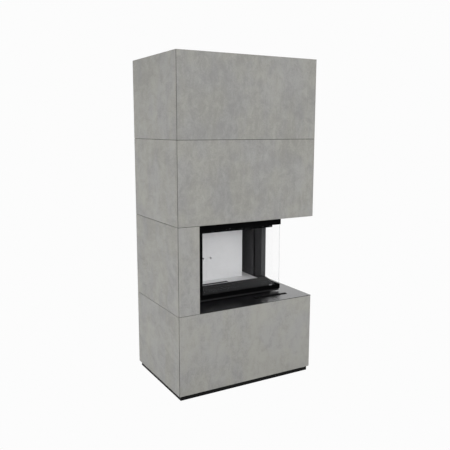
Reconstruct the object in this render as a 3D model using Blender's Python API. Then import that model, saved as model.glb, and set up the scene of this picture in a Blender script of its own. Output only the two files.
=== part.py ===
"""Corner fireplace kit: concrete cladding in four rows round a fire insert whose glass corner lifts.

Lengths are metres. +X is to the right, +Y to the back and +Z up. The origin is the middle of the
footprint at floor level. Pieces of the insert are placed from its glass corner, where the front and
the side pane meet, and pieces of the cladding from the kit's faces.
"""

import math

import bmesh
import bpy
from mathutils import Matrix, Vector

# Whole kit and its rows, from the floor up
WIDTH = 0.960
DEPTH = 0.645
PLINTH_HEIGHT = 0.030
BASE_ROW_HEIGHT = 0.492
FIRE_ROW_HEIGHT = 0.528
HOOD_ROW_HEIGHT = 0.493
TOP_ROW_HEIGHT = 0.487

# Cladding slabs
SLAB = 0.030
JOINT = 0.0025
REBATE_DEPTH = 0.008
ARRIS_GAP = 0.0019
PLINTH_INSET = 0.012
FRONT_PILLAR_WIDTH = 0.138
REAR_PILLAR_DEPTH = 0.082
SOFFIT_THICKNESS = 0.018
LID_THICKNESS = 0.030

# Fits
CONTACT = 0.0003
INSERT_CLEARANCE = 0.0015
OVERRUN = 0.010

# Steel frame of square tube
TUBE = 0.025
TUBE_CORNER = 0.004
REAR_POST_SETBACK = 0.005

# Shelf plates under the glass
SHELF_THICKNESS = 0.003
SHELF_SEAM_FROM_CORNER = 0.374

# Glass corner of the insert, measured from the kit's front and right faces
GLASS_SETBACK = 0.1855
GLASS_SIDE_SETBACK = 0.119

# Firebox of the insert, measured from the glass corner
STEEL = 0.003
BODY_FROM_REAR = 0.045
BODY_LIFT = 0.018
BODY_BOTTOM_THICKNESS = 0.005
BODY_TOP_THICKNESS = 0.004
OUTLET_WIDTH = 0.300
OUTLET_DEPTH = 0.160
OUTLET_FROM_REAR = 0.180

# Air tray under the firebox and air duct behind the back slabs
TRAY_SETBACK = 0.045
TRAY_HEIGHT = 0.090
TRAY_PORT_WIDTH = 0.095
TRAY_PORT_HEIGHT = 0.022
DUCT_PASSAGE_WIDTH = 0.300
DUCT_PASSAGE_DEPTH = 0.040

# Linings and slabs of the chamber
CHAMBER_BEYOND_DOOR = 0.0565
CHAMBER_SIDE_SETBACK = 0.051
FLOOR_THICKNESS = 0.030
LINING_DROP = 0.090
LINING = 0.030
POST_LINING_WIDTH = 0.0345
POST_LINING_START_SHARE = 0.536
POST_LINING_DEPTH = 0.0814
REAR_LINING = 0.015
LINING_GAP = 0.0366
DUCT_DEPTH = 0.0827
BACK_SLAB = 0.030
BACK_SLAB_FROM_RIGHT = 0.065
AIR_HOLE_DIAMETER = 0.014
AIR_HOLE_ABOVE_FLOOR = 0.156
AIR_HOLE_FROM_SEAM = 0.028
BAFFLE_THICKNESS = 0.025

# Grate
GRATE_LENGTH = 0.221
GRATE_WIDTH = 0.030
GRATE_FROM_SIDE = 0.283
GRATE_FROM_BACK = 0.101
GRATE_RIM = 0.009
GRATE_BAR = 0.006
GRATE_BARS = 9
ASH_HOLE_MARGIN = 0.008

# Log lip and inner rail
LIP_SHEET = 0.0025
LIP_FOOT_HEIGHT = 0.021
LIP_HEIGHT = 0.069
LIP_SETBACK = 0.0655
LIP_RIDGE = 0.004
INNER_RAIL_SETBACK = 0.040
INNER_RAIL_HEIGHT = 0.0915
INNER_RAIL_RETURN = 0.012

# Lifting door
DOOR_FROM_FRONT_PILLAR = 0.0815
DOOR_FROM_REAR_PILLAR = 0.093
DOOR_SECTION = 0.0135
DOOR_SHEET = 0.0025
DOOR_INNER_FLANGE = 0.014
DOOR_LIFT_OFF = 0.020
BOTTOM_RAIL_HEIGHT = 0.0296
TOP_RAIL_HEIGHT = 0.050
TOP_RAIL_DROP = 0.020
STILE_WIDTH = 0.034
STILE_INNER_FLANGE = 0.016
GLASS = 0.004
GRIP_HEIGHT = 0.0105
GRIP_THICKNESS = 0.0035
GRIP_SETBACK = 0.0045
TONGUE_WIDTH = 0.020
DOOR_TRAVEL = 0.420

# Guides, pulleys, cables and counterweights
GUIDE_START = 0.001
GUIDE_DEPTH = 0.0137
GUIDE_WALL = 0.0025
GUIDE_SPARE = 0.030
TONGUE_CLEARANCE = 0.0005
TONGUE_END_GAP = 0.006
PULLEY_RISE = 0.070
PULLEY_PITCH = 0.055
PULLEY_FLANGE = 0.0035
PULLEY_HUB = 0.012
PULLEY_WEB = 0.003
PULLEY_RIM_WALL = 0.004
PULLEY_HOLE = 0.018
PULLEY_HOLES = 5
PULLEY_HOLE_CIRCLE = 0.031
AXLE_DIAMETER = 0.008
AXLE_CLEARANCE = 0.0004
CHEEK_MARGIN = 0.014
CABLE_DIAMETER = 0.003
CABLE_FROM_STILE = 0.0125
WEIGHT_WIDTH = 0.045
WEIGHT_THICKNESS = 0.020
WEIGHT_HEIGHT = 0.400
WEIGHT_BELOW_AXLE = 0.100
WEIGHT_SETBACK = 0.003
WEIGHT_EDGE = 0.002
FASCIA_THICKNESS = 0.002
FASCIA_MARGIN = 0.003

# Air slider in the shelf
SLOT_RIGHT_OVERHANG = 0.002
SLOT_LENGTH = 0.248
SLOT_WIDTH = 0.008
SLOT_DEPTH = 0.109
SLIDER_LENGTH = 0.042
SLIDER_TAB_HEIGHT = 0.0035
SLIDER_TAB_MARGIN = 0.004
SLIDER_SLOT_CLEARANCE = 0.0008
SLIDER_SHEET = 0.0035
SLIDER_ARM_DROP = 0.009
SHUTTER_WIDTH = 0.120
SHUTTER_HEIGHT = 0.045

# Smoke dome
DOME_SHEET = 0.003
DOME_FLANGE = 0.020
DOME_WALL_HEIGHT = 0.050
DOME_NECK_HEIGHT = 0.240
COLLAR_RADIUS = 0.090
COLLAR_HEIGHT = 0.320

# Insert stand
STAND_SHEET = 0.005
STAND_FLANGE = 0.040
STAND_END_MARGIN = 0.030
STAND_SIDE_MARGIN = 0.020

# Lid openings
FLUE_CLEARANCE = 0.012
VENT_WIDTH = 0.400
VENT_DEPTH = 0.035
VENT_START = 0.075
VENT_PITCH = 0.085
VENTS = 2

# Fineness of round shapes
CORNER_STEPS = 3
ROUND_STEPS = 32
CABLE_STEPS = 10
DOME_STEPS_PER_SIDE = 8
DOME_RINGS = 5

# Levels and places worked out from the sizes above
FRONT = -DEPTH / 2
RIGHT = WIDTH / 2
BASE_TOP = PLINTH_HEIGHT + BASE_ROW_HEIGHT
FIRE_TOP = BASE_TOP + FIRE_ROW_HEIGHT
HOOD_TOP = FIRE_TOP + HOOD_ROW_HEIGHT
HEIGHT = HOOD_TOP + TOP_ROW_HEIGHT
GLASS_CORNER_X = RIGHT - GLASS_SIDE_SETBACK
GLASS_CORNER_Y = FRONT + GLASS_SETBACK
SHELF_LOW = BASE_TOP - JOINT / 2 + CONTACT
SHELF_HIGH = SHELF_LOW + SHELF_THICKNESS
FRAME_TOP = HEIGHT - LID_THICKNESS - CONTACT

# Heights of the insert
BODY_BOTTOM = BASE_TOP + BODY_LIFT
BODY_TOP = FIRE_TOP
CHAMBER_FLOOR = BODY_BOTTOM + BODY_BOTTOM_THICKNESS
FLOOR_TOP = CHAMBER_FLOOR + CONTACT + FLOOR_THICKNESS
LINING_TOP = BODY_TOP - LINING_DROP
TRAY_BOTTOM = BODY_BOTTOM - TRAY_HEIGHT
AIR_HOLE_HEIGHT = FLOOR_TOP + AIR_HOLE_ABOVE_FLOOR
BOTTOM_RAIL_LOW = BASE_TOP + DOOR_LIFT_OFF
BOTTOM_RAIL_HIGH = BOTTOM_RAIL_LOW + BOTTOM_RAIL_HEIGHT
TOP_RAIL_HIGH = FIRE_TOP - TOP_RAIL_DROP
TOP_RAIL_LOW = TOP_RAIL_HIGH - TOP_RAIL_HEIGHT
GUIDE_TOP = TOP_RAIL_LOW + DOOR_TRAVEL + GUIDE_SPARE
PULLEY_HEIGHT = GUIDE_TOP + PULLEY_RISE
WEIGHT_TOP = PULLEY_HEIGHT - WEIGHT_BELOW_AXLE

# Distances behind the panes, and to the left of the side pane
GUIDE_LOW_SETBACK = FASCIA_THICKNESS + CONTACT
GUIDE_HIGH_SETBACK = GUIDE_LOW_SETBACK + GUIDE_DEPTH
TONGUE_LOW = GUIDE_LOW_SETBACK + GUIDE_WALL + TONGUE_CLEARANCE
TONGUE_HIGH = GUIDE_HIGH_SETBACK - GUIDE_WALL - TONGUE_CLEARANCE
BODY_SETBACK = GUIDE_HIGH_SETBACK + CONTACT
DOOR_FRONT_LENGTH = WIDTH - GLASS_SIDE_SETBACK - FRONT_PILLAR_WIDTH - DOOR_FROM_FRONT_PILLAR
DOOR_SIDE_LENGTH = DEPTH - GLASS_SETBACK - REAR_PILLAR_DEPTH - DOOR_FROM_REAR_PILLAR
BODY_DEPTH = DEPTH - GLASS_SETBACK - BODY_FROM_REAR
CHAMBER_LEFT = DOOR_FRONT_LENGTH + CHAMBER_BEYOND_DOOR
BODY_LEFT = CHAMBER_LEFT + LINING + CONTACT + STEEL
BODY_SIDE_STEP = CHAMBER_SIDE_SETBACK - REAR_LINING - CONTACT - STEEL
POST_LINING_START = DOOR_SIDE_LENGTH * POST_LINING_START_SHARE
BODY_STEP = POST_LINING_START + POST_LINING_DEPTH + CONTACT + STEEL
CHEEK_END = DOOR_FRONT_LENGTH - STILE_INNER_FLANGE
DUCT_FRONT = BODY_DEPTH - DUCT_DEPTH
BACK_FACE = DUCT_FRONT - CONTACT - BACK_SLAB
GRATE_FROM_FRONT = BACK_FACE - GRATE_FROM_BACK
BACK_SLAB_RIGHT_END = CHAMBER_SIDE_SETBACK + BACK_SLAB_FROM_RIGHT
BACK_SEAM = (BACK_SLAB_RIGHT_END + CHAMBER_LEFT) / 2
OUTLET_FROM_SIDE = GLASS_CORNER_X
OUTLET_FROM_FRONT = BODY_DEPTH - OUTLET_FROM_REAR

# Frames: each turns (along, inward, height) of one side of the kit into the kit's own X, Y, Z
HOUSE = Matrix(((1, 0, 0, 0), (0, 1, 0, FRONT), (0, 0, 1, 0), (0, 0, 0, 1)))
LEFT_FACE = Matrix(((0, 1, 0, -RIGHT), (1, 0, 0, FRONT), (0, 0, 1, 0), (0, 0, 0, 1)))
RIGHT_FACE = Matrix(((0, -1, 0, RIGHT), (1, 0, 0, FRONT), (0, 0, 1, 0), (0, 0, 0, 1)))
HOUSE_CORNER = Matrix(((-1, 0, 0, RIGHT), (0, 1, 0, FRONT), (0, 0, 1, 0), (0, 0, 0, 1)))
GLASS_FRONT = Matrix(
    ((-1, 0, 0, GLASS_CORNER_X), (0, 1, 0, GLASS_CORNER_Y), (0, 0, 1, 0), (0, 0, 0, 1))
)
GLASS_SIDE = Matrix(
    ((0, -1, 0, GLASS_CORNER_X), (1, 0, 0, GLASS_CORNER_Y), (0, 0, 1, 0), (0, 0, 0, 1))
)

# Finishes: colour as seen on a screen, roughness, metallic and how much light passes
FINISHES = {
    "concrete": ((0.61, 0.60, 0.58), 0.85, 0.0, 0.0),
    "black_steel": ((0.03, 0.03, 0.03), 0.45, 0.0, 0.0),
    "shelf_black": ((0.07, 0.07, 0.08), 0.12, 0.0, 0.0),
    "grey_steel": ((0.36, 0.36, 0.36), 0.40, 1.0, 0.0),
    "dark_lining": ((0.17, 0.17, 0.18), 0.80, 0.0, 0.0),
    "light_lining": ((0.76, 0.76, 0.77), 0.85, 0.0, 0.0),
    "glass": ((0.98, 0.99, 0.98), 0.02, 0.0, 1.0),
    "cast_iron": ((0.10, 0.10, 0.10), 0.60, 0.6, 0.0),
    "cable_steel": ((0.62, 0.63, 0.64), 0.30, 1.0, 0.0),
}


def clear_scene():
    """Remove whatever the file holds."""
    for item in list(bpy.data.objects):
        bpy.data.objects.remove(item, do_unlink=True)


def linear(value):
    """Screen value of a colour channel as the linear value that shading uses."""
    if value <= 0.04045:
        return value / 12.92
    return ((value + 0.055) / 1.055) ** 2.4


def finish(name):
    """The Principled material of one finish, made once."""
    found = bpy.data.materials.get(name)
    if found:
        return found
    colour, roughness, metallic, passing = FINISHES[name]
    made = bpy.data.materials.new(name)
    made.use_nodes = True
    shader = made.node_tree.nodes["Principled BSDF"]
    shader.inputs["Base Color"].default_value = [linear(c) for c in colour] + [1.0]
    shader.inputs["Roughness"].default_value = roughness
    shader.inputs["Metallic"].default_value = metallic
    shader.inputs["Transmission Weight"].default_value = passing
    made.diffuse_color = [linear(c) for c in colour] + [1.0]
    return made


def loft(rings, closed=False):
    """Skin over rings of equally many points, capped at both ends or closed back on the first ring."""
    mesh = bmesh.new()
    made = [[mesh.verts.new(point) for point in ring] for ring in rings]
    pairs = list(zip(made, made[1:]))
    if closed:
        pairs.append((made[-1], made[0]))
    else:
        mesh.faces.new(made[0])
        mesh.faces.new(made[-1])
    for low, high in pairs:
        for i in range(len(low)):
            mesh.faces.new((low[i - 1], low[i], high[i], high[i - 1]))
    return mesh


def prism(outline, bottom, top):
    """A plan outline raised from one height to another."""
    return loft([[(u, v, height) for u, v in outline] for height in (bottom, top)])


def box(along, inward, heights):
    """A block between two values on each axis of its frame."""
    (a, b), (c, d) = along, inward
    return prism([(a, c), (b, c), (b, d), (a, d)], *heights)


def cylinder(centre, axis, radius, start, end, steps):
    """A round bar along one axis ('x', 'y' or 'z') of its frame, through centre on the other two."""
    rings = []
    for level in (start, end):
        ring = []
        for i in range(steps):
            angle = 2 * math.pi * i / steps
            p = centre[0] + radius * math.cos(angle)
            q = centre[1] + radius * math.sin(angle)
            ring.append({"x": (level, p, q), "y": (p, level, q), "z": (p, q, level)}[axis])
        rings.append(ring)
    return loft(rings)


def rounded(along, inward, radius):
    """Outline of a rectangle with round corners."""
    (a, b), (c, d) = along, inward
    centres = (
        (b - radius, d - radius),
        (a + radius, d - radius),
        (a + radius, c + radius),
        (b - radius, c + radius),
    )
    outline = []
    for quarter, (u, v) in enumerate(centres):
        for i in range(CORNER_STEPS + 1):
            angle = math.pi / 2 * (quarter + i / CORNER_STEPS)
            outline.append((u + radius * math.cos(angle), v + radius * math.sin(angle)))
    return outline


def bent_sheet(path, thickness):
    """Outline of a sheet bent along a path, its other side lying to the right of the path."""
    points = [Vector(point) for point in path]
    sides = []
    for start, end in zip(points, points[1:]):
        run = (end - start).normalized()
        sides.append(Vector((run.y, -run.x)))
    offset = [points[0] + sides[0] * thickness]
    for point, before, after in zip(points[1:], sides, sides[1:]):
        middle = before + after
        offset.append(point + middle * (2 * thickness / middle.length_squared))
    offset.append(points[-1] + sides[-1] * thickness)
    return [tuple(p) for p in points + offset[::-1]]


def corner_sweep(section, front_end, side_end):
    """A section of (inward, height) swept along the front, round a mitred corner and along the side."""
    return loft(
        [
            [(front_end, inward, height) for inward, height in section],
            [(inward, inward, height) for inward, height in section],
            [(inward, side_end, height) for inward, height in section],
        ]
    )


def stand_in_frame(mesh, frame):
    """Move a mesh from its frame into the kit's and turn its faces outward."""
    mesh.transform(frame)
    bmesh.ops.recalc_face_normals(mesh, faces=mesh.faces)
    return mesh


def piece(name, material, mesh, frame, smooth=False):
    """One object in the scene, made from a mesh that was drawn in a frame."""
    stand_in_frame(mesh, frame)
    data = bpy.data.meshes.new(name)
    mesh.to_mesh(data)
    mesh.free()
    made = bpy.data.objects.new(name, data)
    data.materials.append(finish(material))
    bpy.context.scene.collection.objects.link(made)
    if smooth:
        data.shade_smooth()
        data.set_sharp_from_angle(angle=math.radians(40))
    return made


def helper(owner, mesh, frame):
    """A hidden shape that a Boolean of its owner reads."""
    made = piece(f"{owner.name}_helper", "black_steel", mesh, frame)
    made.hide_render = True
    made.display_type = "WIRE"
    return made


def shaped(owner, mesh, frame, operation):
    """Add a shape to its owner or cut it out."""
    modifier = owner.modifiers.new(operation.lower(), "BOOLEAN")
    modifier.operation = operation
    modifier.solver = "EXACT"
    modifier.object = helper(owner, mesh, frame)


def add(owner, mesh, frame):
    """Weld a shape to its owner."""
    shaped(owner, mesh, frame, "UNION")


def cut(owner, mesh, frame):
    """Cut a shape out of its owner."""
    shaped(owner, mesh, frame, "DIFFERENCE")


def bevel(owner, width):
    """Break the sharp edges of a piece."""
    modifier = owner.modifiers.new("edges", "BEVEL")
    modifier.width = width
    modifier.segments = 1
    modifier.limit_method = "ANGLE"


def hang_on(parent_name, place, pieces):
    """Parent moving pieces to an empty that stands on their joint's axis."""
    empty = bpy.data.objects.new(parent_name, None)
    empty.location = place
    bpy.context.scene.collection.objects.link(empty)
    for item in pieces:
        item.parent = empty
        item.matrix_parent_inverse = Matrix.Translation(place).inverted()


def slab(name, face, along, heights, mitres, jointed):
    """A cladding slab with mitred ends, and a rebate that shows as a dark joint.

    mitres says which of its two ends meet a neighbour at a corner, and jointed whether it stands on a
    slab below.
    """
    start, end = along
    bottom, top = heights
    seat = bottom + JOINT / 2
    if jointed:
        seat = bottom - JOINT / 2 + CONTACT
    rings = []
    for depth, in_face in ((0, True), (REBATE_DEPTH, True), (REBATE_DEPTH, False), (SLAB, False)):
        set_in = depth + (ARRIS_GAP if in_face else CONTACT)
        low = start + set_in * mitres[0]
        high = end - set_in * mitres[1]
        floor = bottom + JOINT / 2 if in_face and jointed else seat
        rings.append([(low, depth, floor), (high, depth, floor), (high, depth, top), (low, depth, top)])
    return piece(name, "concrete", loft(rings), face)


def row_levels(bottom, top, last):
    """Lower and upper level of a row's slabs, with half a joint off a top that carries another row."""
    return bottom, top if last else top - JOINT / 2


def build_plinth():
    """Recessed black base board that the kit stands on."""
    along = (-RIGHT + PLINTH_INSET, RIGHT - PLINTH_INSET)
    inward = (PLINTH_INSET, DEPTH - PLINTH_INSET)
    piece("plinth", "black_steel", box(along, inward, (0, PLINTH_HEIGHT - CONTACT)), HOUSE)


def build_full_row(row, bottom, top, jointed, last):
    """Front, left and right slab of one row."""
    heights = row_levels(bottom, top, last)
    slab(f"{row}_front_panel", HOUSE, (-RIGHT, RIGHT), heights, (1, 1), jointed)
    slab(f"{row}_left_panel", LEFT_FACE, (0, DEPTH), heights, (1, 0), jointed)
    slab(f"{row}_right_panel", RIGHT_FACE, (0, DEPTH), heights, (1, 0), jointed)


def build_base_row():
    """The row below the fire."""
    heights = (PLINTH_HEIGHT - JOINT / 2, BASE_TOP)
    build_full_row("base", *heights, jointed=False, last=False)


def build_fire_row():
    """The row beside the fire: full slab on the left, and two pillars with their returns."""
    heights = row_levels(BASE_TOP, FIRE_TOP, False)
    slab("fire_left_panel", LEFT_FACE, (0, DEPTH), heights, (1, 0), True)
    pillar = (-RIGHT, -RIGHT + FRONT_PILLAR_WIDTH)
    slab("fire_front_pillar", HOUSE, pillar, heights, (1, 0), True)
    slab("fire_rear_pillar", RIGHT_FACE, (DEPTH - REAR_PILLAR_DEPTH, DEPTH), heights, (0, 0), True)
    seat = SHELF_LOW
    top = heights[1]
    along = (pillar[1] - SLAB, pillar[1])
    inward = (SLAB + CONTACT, GLASS_SETBACK - INSERT_CLEARANCE)
    piece("fire_front_return", "concrete", box(along, inward, (seat, top)), HOUSE)
    along = (GLASS_CORNER_X + CONTACT, RIGHT - SLAB - CONTACT)
    inward = (DEPTH - REAR_PILLAR_DEPTH, DEPTH - REAR_PILLAR_DEPTH + SLAB)
    piece("fire_rear_return", "concrete", box(along, inward, (seat, top)), HOUSE)


def build_hood_row():
    """The row above the fire, with the soffit that closes it underneath round the door's slot."""
    build_full_row("hood", FIRE_TOP, HOOD_TOP, jointed=True, last=False)
    left = -RIGHT + SLAB + TUBE + 2 * CONTACT
    right = RIGHT - SLAB - CONTACT
    slot = GLASS_CORNER_X + INSERT_CLEARANCE
    front = SLAB + CONTACT
    rear = GLASS_SETBACK - INSERT_CLEARANCE
    end = DEPTH - REAR_PILLAR_DEPTH - CONTACT
    outline = [(left, front), (right, front), (right, end), (slot, end), (slot, rear), (left, rear)]
    low = FIRE_TOP + JOINT / 2
    piece("hood_soffit", "concrete", prism(outline, low, low + SOFFIT_THICKNESS), HOUSE)


def build_top_row():
    """The top row and its lid, which has the flue hole and two warm-air vents."""
    build_full_row("top", HOOD_TOP, HEIGHT, jointed=True, last=True)
    side = RIGHT - SLAB - CONTACT
    inward = (SLAB + CONTACT, DEPTH)
    lid = piece("top_lid", "concrete", box((-side, side), inward, (HEIGHT - LID_THICKNESS, HEIGHT)), HOUSE)
    reach = (HEIGHT - LID_THICKNESS - OVERRUN, HEIGHT + OVERRUN)
    centre = (OUTLET_FROM_SIDE, OUTLET_FROM_FRONT)
    hole = COLLAR_RADIUS + FLUE_CLEARANCE
    cut(lid, cylinder(centre, "z", hole, *reach, ROUND_STEPS), GLASS_FRONT)
    for i in range(VENTS):
        start = VENT_START + i * VENT_PITCH
        vent = box((-VENT_WIDTH / 2, VENT_WIDTH / 2), (start, start + VENT_DEPTH), reach)
        cut(lid, vent, HOUSE)


def build_shelf():
    """Two steel plates that lie on the base row under the glass, the right one with the slider's slot."""
    seam = GLASS_CORNER_X - SHELF_SEAM_FROM_CORNER
    left = -RIGHT + FRONT_PILLAR_WIDTH + INSERT_CLEARANCE
    rear = GLASS_SETBACK + TRAY_SETBACK - INSERT_CLEARANCE
    heights = (SHELF_LOW, SHELF_HIGH)
    left_plate = box((left, seam - CONTACT), (0, rear), heights)
    piece("shelf_left_plate", "shelf_black", left_plate, HOUSE)
    inner = GLASS_CORNER_X - TRAY_SETBACK + INSERT_CLEARANCE
    end = DEPTH - REAR_PILLAR_DEPTH - CONTACT
    outline = [(seam, 0), (RIGHT, 0), (RIGHT, end), (inner, end), (inner, rear), (seam, rear)]
    plate = piece("shelf_right_plate", "shelf_black", prism(outline, *heights), HOUSE)
    end = GLASS_CORNER_X + SLOT_RIGHT_OVERHANG
    slot = box(
        (end - SLOT_LENGTH, end),
        (SLOT_DEPTH, SLOT_DEPTH + SLOT_WIDTH),
        (SHELF_LOW - OVERRUN, SHELF_HIGH + OVERRUN),
    )
    cut(plate, slot, HOUSE)


def upright(name, along, inward, heights):
    """One upright of square tube, closed at its ends."""
    outline = rounded((along, along + TUBE), (inward, inward + TUBE), TUBE_CORNER)
    piece(name, "grey_steel", prism(outline, *heights), HOUSE, smooth=True)


def build_frame():
    """Posts and rails behind the slabs; each rail has a post of the open corner welded on."""
    left = -RIGHT + SLAB + CONTACT
    right = RIGHT - SLAB - CONTACT - TUBE
    front = SLAB + CONTACT
    rear = DEPTH - REAR_POST_SETBACK - TUBE
    full = (PLINTH_HEIGHT, FRAME_TOP)
    upright("post_front_left", left, front, full)
    upright("post_rear_left", left, rear, full)
    upright("post_rear_right", right, rear, full)
    post = rounded((right, right + TUBE), (front, front + TUBE), TUBE_CORNER)
    shelf_seat = SHELF_LOW - CONTACT
    along = (left + TUBE + CONTACT, right + TUBE / 2)
    rail = box(along, (front, front + TUBE), (shelf_seat - TUBE, shelf_seat))
    frame = piece("shelf_frame", "grey_steel", rail, HOUSE)
    add(frame, prism(post, PLINTH_HEIGHT, shelf_seat), HOUSE)
    rail_low = FIRE_TOP + JOINT / 2 + SOFFIT_THICKNESS + CONTACT
    rail_high = rail_low + TUBE
    inset = SLAB + CONTACT
    section = rounded((inset, inset + TUBE), (rail_low, rail_high), TUBE_CORNER)
    front_end = RIGHT - (left + TUBE + CONTACT)
    rail = corner_sweep(section, front_end, rear - CONTACT)
    frame = piece("hood_frame", "grey_steel", rail, HOUSE_CORNER, smooth=True)
    add(frame, prism(post, rail_low + TUBE / 2, FRAME_TOP), HOUSE)


def build_stand():
    """Two folded plates that carry the insert, with the foot turned out and the seat turned in."""
    inward = (TRAY_SETBACK + STAND_END_MARGIN, BODY_DEPTH - STAND_END_MARGIN)
    low = PLINTH_HEIGHT
    high = TRAY_BOTTOM - CONTACT
    near = TRAY_SETBACK + STAND_SIDE_MARGIN
    far = CHAMBER_LEFT - STAND_SIDE_MARGIN
    for name, web, turn in (("insert_stand_right", near, 1), ("insert_stand_left", far, -1)):
        path = [
            (web - turn * STAND_FLANGE, low + STAND_SHEET),
            (web, low + STAND_SHEET),
            (web, high),
            (web + turn * STAND_FLANGE, high),
        ]
        section = bent_sheet(path, turn * STAND_SHEET)
        rings = [[(along, depth, height) for along, height in section] for depth in inward]
        piece(name, "black_steel", loft(rings), GLASS_FRONT)


def body_outline(front_setback, step_setback):
    """Plan outline of the firebox's floor and top, measured from the glass corner."""
    side = BODY_SETBACK
    return [
        (BODY_LEFT, BODY_SETBACK),
        (CHEEK_END, BODY_SETBACK),
        (CHEEK_END, front_setback),
        (front_setback, front_setback),
        (front_setback, step_setback),
        (side, step_setback),
        (side, BODY_STEP),
        (BODY_SIDE_STEP, BODY_STEP),
        (BODY_SIDE_STEP, BODY_DEPTH),
        (BODY_LEFT, BODY_DEPTH),
    ]


def build_firebox():
    """Welded steel body: floor with its ash hole and air passage, bent walls and top with outlet."""
    side = BODY_SETBACK
    floor_outline = [
        (BODY_LEFT, BODY_SETBACK),
        (side, BODY_SETBACK),
        (side, BODY_STEP),
        (BODY_SIDE_STEP, BODY_STEP),
        (BODY_SIDE_STEP, BODY_DEPTH),
        (BODY_LEFT, BODY_DEPTH),
    ]
    body = piece("firebox_body", "black_steel", prism(floor_outline, BODY_BOTTOM, CHAMBER_FLOOR), GLASS_FRONT)
    wall_path = [
        (side, BODY_STEP),
        (BODY_SIDE_STEP, BODY_STEP),
        (BODY_SIDE_STEP, BODY_DEPTH),
        (BODY_LEFT, BODY_DEPTH),
        (BODY_LEFT, BODY_SETBACK),
        (CHEEK_END, BODY_SETBACK),
    ]
    inner_top = BODY_TOP - BODY_TOP_THICKNESS
    walls = prism(bent_sheet(wall_path, STEEL), BODY_BOTTOM, BODY_TOP)
    add(body, walls, GLASS_FRONT)
    top = prism(body_outline(INNER_RAIL_SETBACK, POST_LINING_START), inner_top, BODY_TOP)
    add(body, top, GLASS_FRONT)
    outlet_along = (OUTLET_FROM_SIDE - OUTLET_WIDTH / 2, OUTLET_FROM_SIDE + OUTLET_WIDTH / 2)
    outlet_inward = (OUTLET_FROM_FRONT - OUTLET_DEPTH / 2, OUTLET_FROM_FRONT + OUTLET_DEPTH / 2)
    cut(body, box(outlet_along, outlet_inward, (inner_top - OVERRUN, BODY_TOP + OVERRUN)), GLASS_FRONT)
    ash_along = (GRATE_FROM_SIDE + ASH_HOLE_MARGIN, GRATE_FROM_SIDE + GRATE_LENGTH - ASH_HOLE_MARGIN)
    ash_inward = (GRATE_FROM_FRONT + ASH_HOLE_MARGIN, GRATE_FROM_FRONT + GRATE_WIDTH - ASH_HOLE_MARGIN)
    cut(body, box(ash_along, ash_inward, (BODY_BOTTOM - OVERRUN, CHAMBER_FLOOR + OVERRUN)), GLASS_FRONT)
    cut_duct_passage(body)


def build_air_tray():
    """Shallow tray under the firebox floor, with the port that the slider's shutter covers."""
    along = (TRAY_SETBACK, CHAMBER_LEFT)
    inward = (TRAY_SETBACK, BODY_DEPTH - STEEL)
    block = box(along, inward, (TRAY_BOTTOM, BODY_BOTTOM - CONTACT))
    tray = piece("air_tray", "black_steel", block, GLASS_FRONT)
    inner_along = (along[0] + STEEL, along[1] - STEEL)
    inner_inward = (inward[0] + STEEL, inward[1] - STEEL)
    cut(tray, box(inner_along, inner_inward, (TRAY_BOTTOM + STEEL, BODY_BOTTOM + OVERRUN)), GLASS_FRONT)
    port_start = shutter_start() + (SHUTTER_WIDTH - TRAY_PORT_WIDTH) / 2
    port_low = shutter_low() + (SHUTTER_HEIGHT - TRAY_PORT_HEIGHT) / 2
    port = box(
        (port_start, port_start + TRAY_PORT_WIDTH),
        (GLASS_SETBACK + TRAY_SETBACK - OVERRUN, GLASS_SETBACK + TRAY_SETBACK + STEEL + OVERRUN),
        (port_low, port_low + TRAY_PORT_HEIGHT),
    )
    cut(tray, port, HOUSE)


def build_air_duct():
    """Folded duct behind the back slabs, fed from the tray, with one hole behind each slab's own."""
    left = CHAMBER_LEFT - CONTACT
    rear = BODY_DEPTH - STEEL - CONTACT
    path = [
        (BACK_SLAB_RIGHT_END, rear),
        (BACK_SLAB_RIGHT_END, DUCT_FRONT),
        (left, DUCT_FRONT),
        (left, rear),
    ]
    outline = bent_sheet(path[::-1], STEEL)
    walls = prism(outline, CHAMBER_FLOOR + CONTACT, LINING_TOP)
    duct = piece("air_duct", "black_steel", walls, GLASS_FRONT)
    cover = box((BACK_SLAB_RIGHT_END, left), (DUCT_FRONT, rear), (LINING_TOP - STEEL, LINING_TOP))
    add(duct, cover, GLASS_FRONT)
    for along in air_hole_places():
        hole = cylinder(
            (along, AIR_HOLE_HEIGHT),
            "y",
            AIR_HOLE_DIAMETER / 2,
            DUCT_FRONT - OVERRUN,
            DUCT_FRONT + STEEL + OVERRUN,
            CABLE_STEPS,
        )
        cut(duct, hole, GLASS_FRONT)


def cut_duct_passage(body):
    """Opening in the firebox floor through which the tray feeds the duct."""
    middle = (BACK_SLAB_RIGHT_END + CHAMBER_LEFT) / 2
    passage_inward = (DUCT_FRONT + 2 * STEEL, DUCT_FRONT + 2 * STEEL + DUCT_PASSAGE_DEPTH)
    passage = box(
        (middle - DUCT_PASSAGE_WIDTH / 2, middle + DUCT_PASSAGE_WIDTH / 2),
        passage_inward,
        (BODY_BOTTOM - OVERRUN, CHAMBER_FLOOR + OVERRUN),
    )
    cut(body, passage, GLASS_FRONT)


def air_hole_places():
    """Distances of the two air holes from the glass corner, one each side of the back seam."""
    return BACK_SEAM - AIR_HOLE_FROM_SEAM, BACK_SEAM + AIR_HOLE_FROM_SEAM


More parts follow.
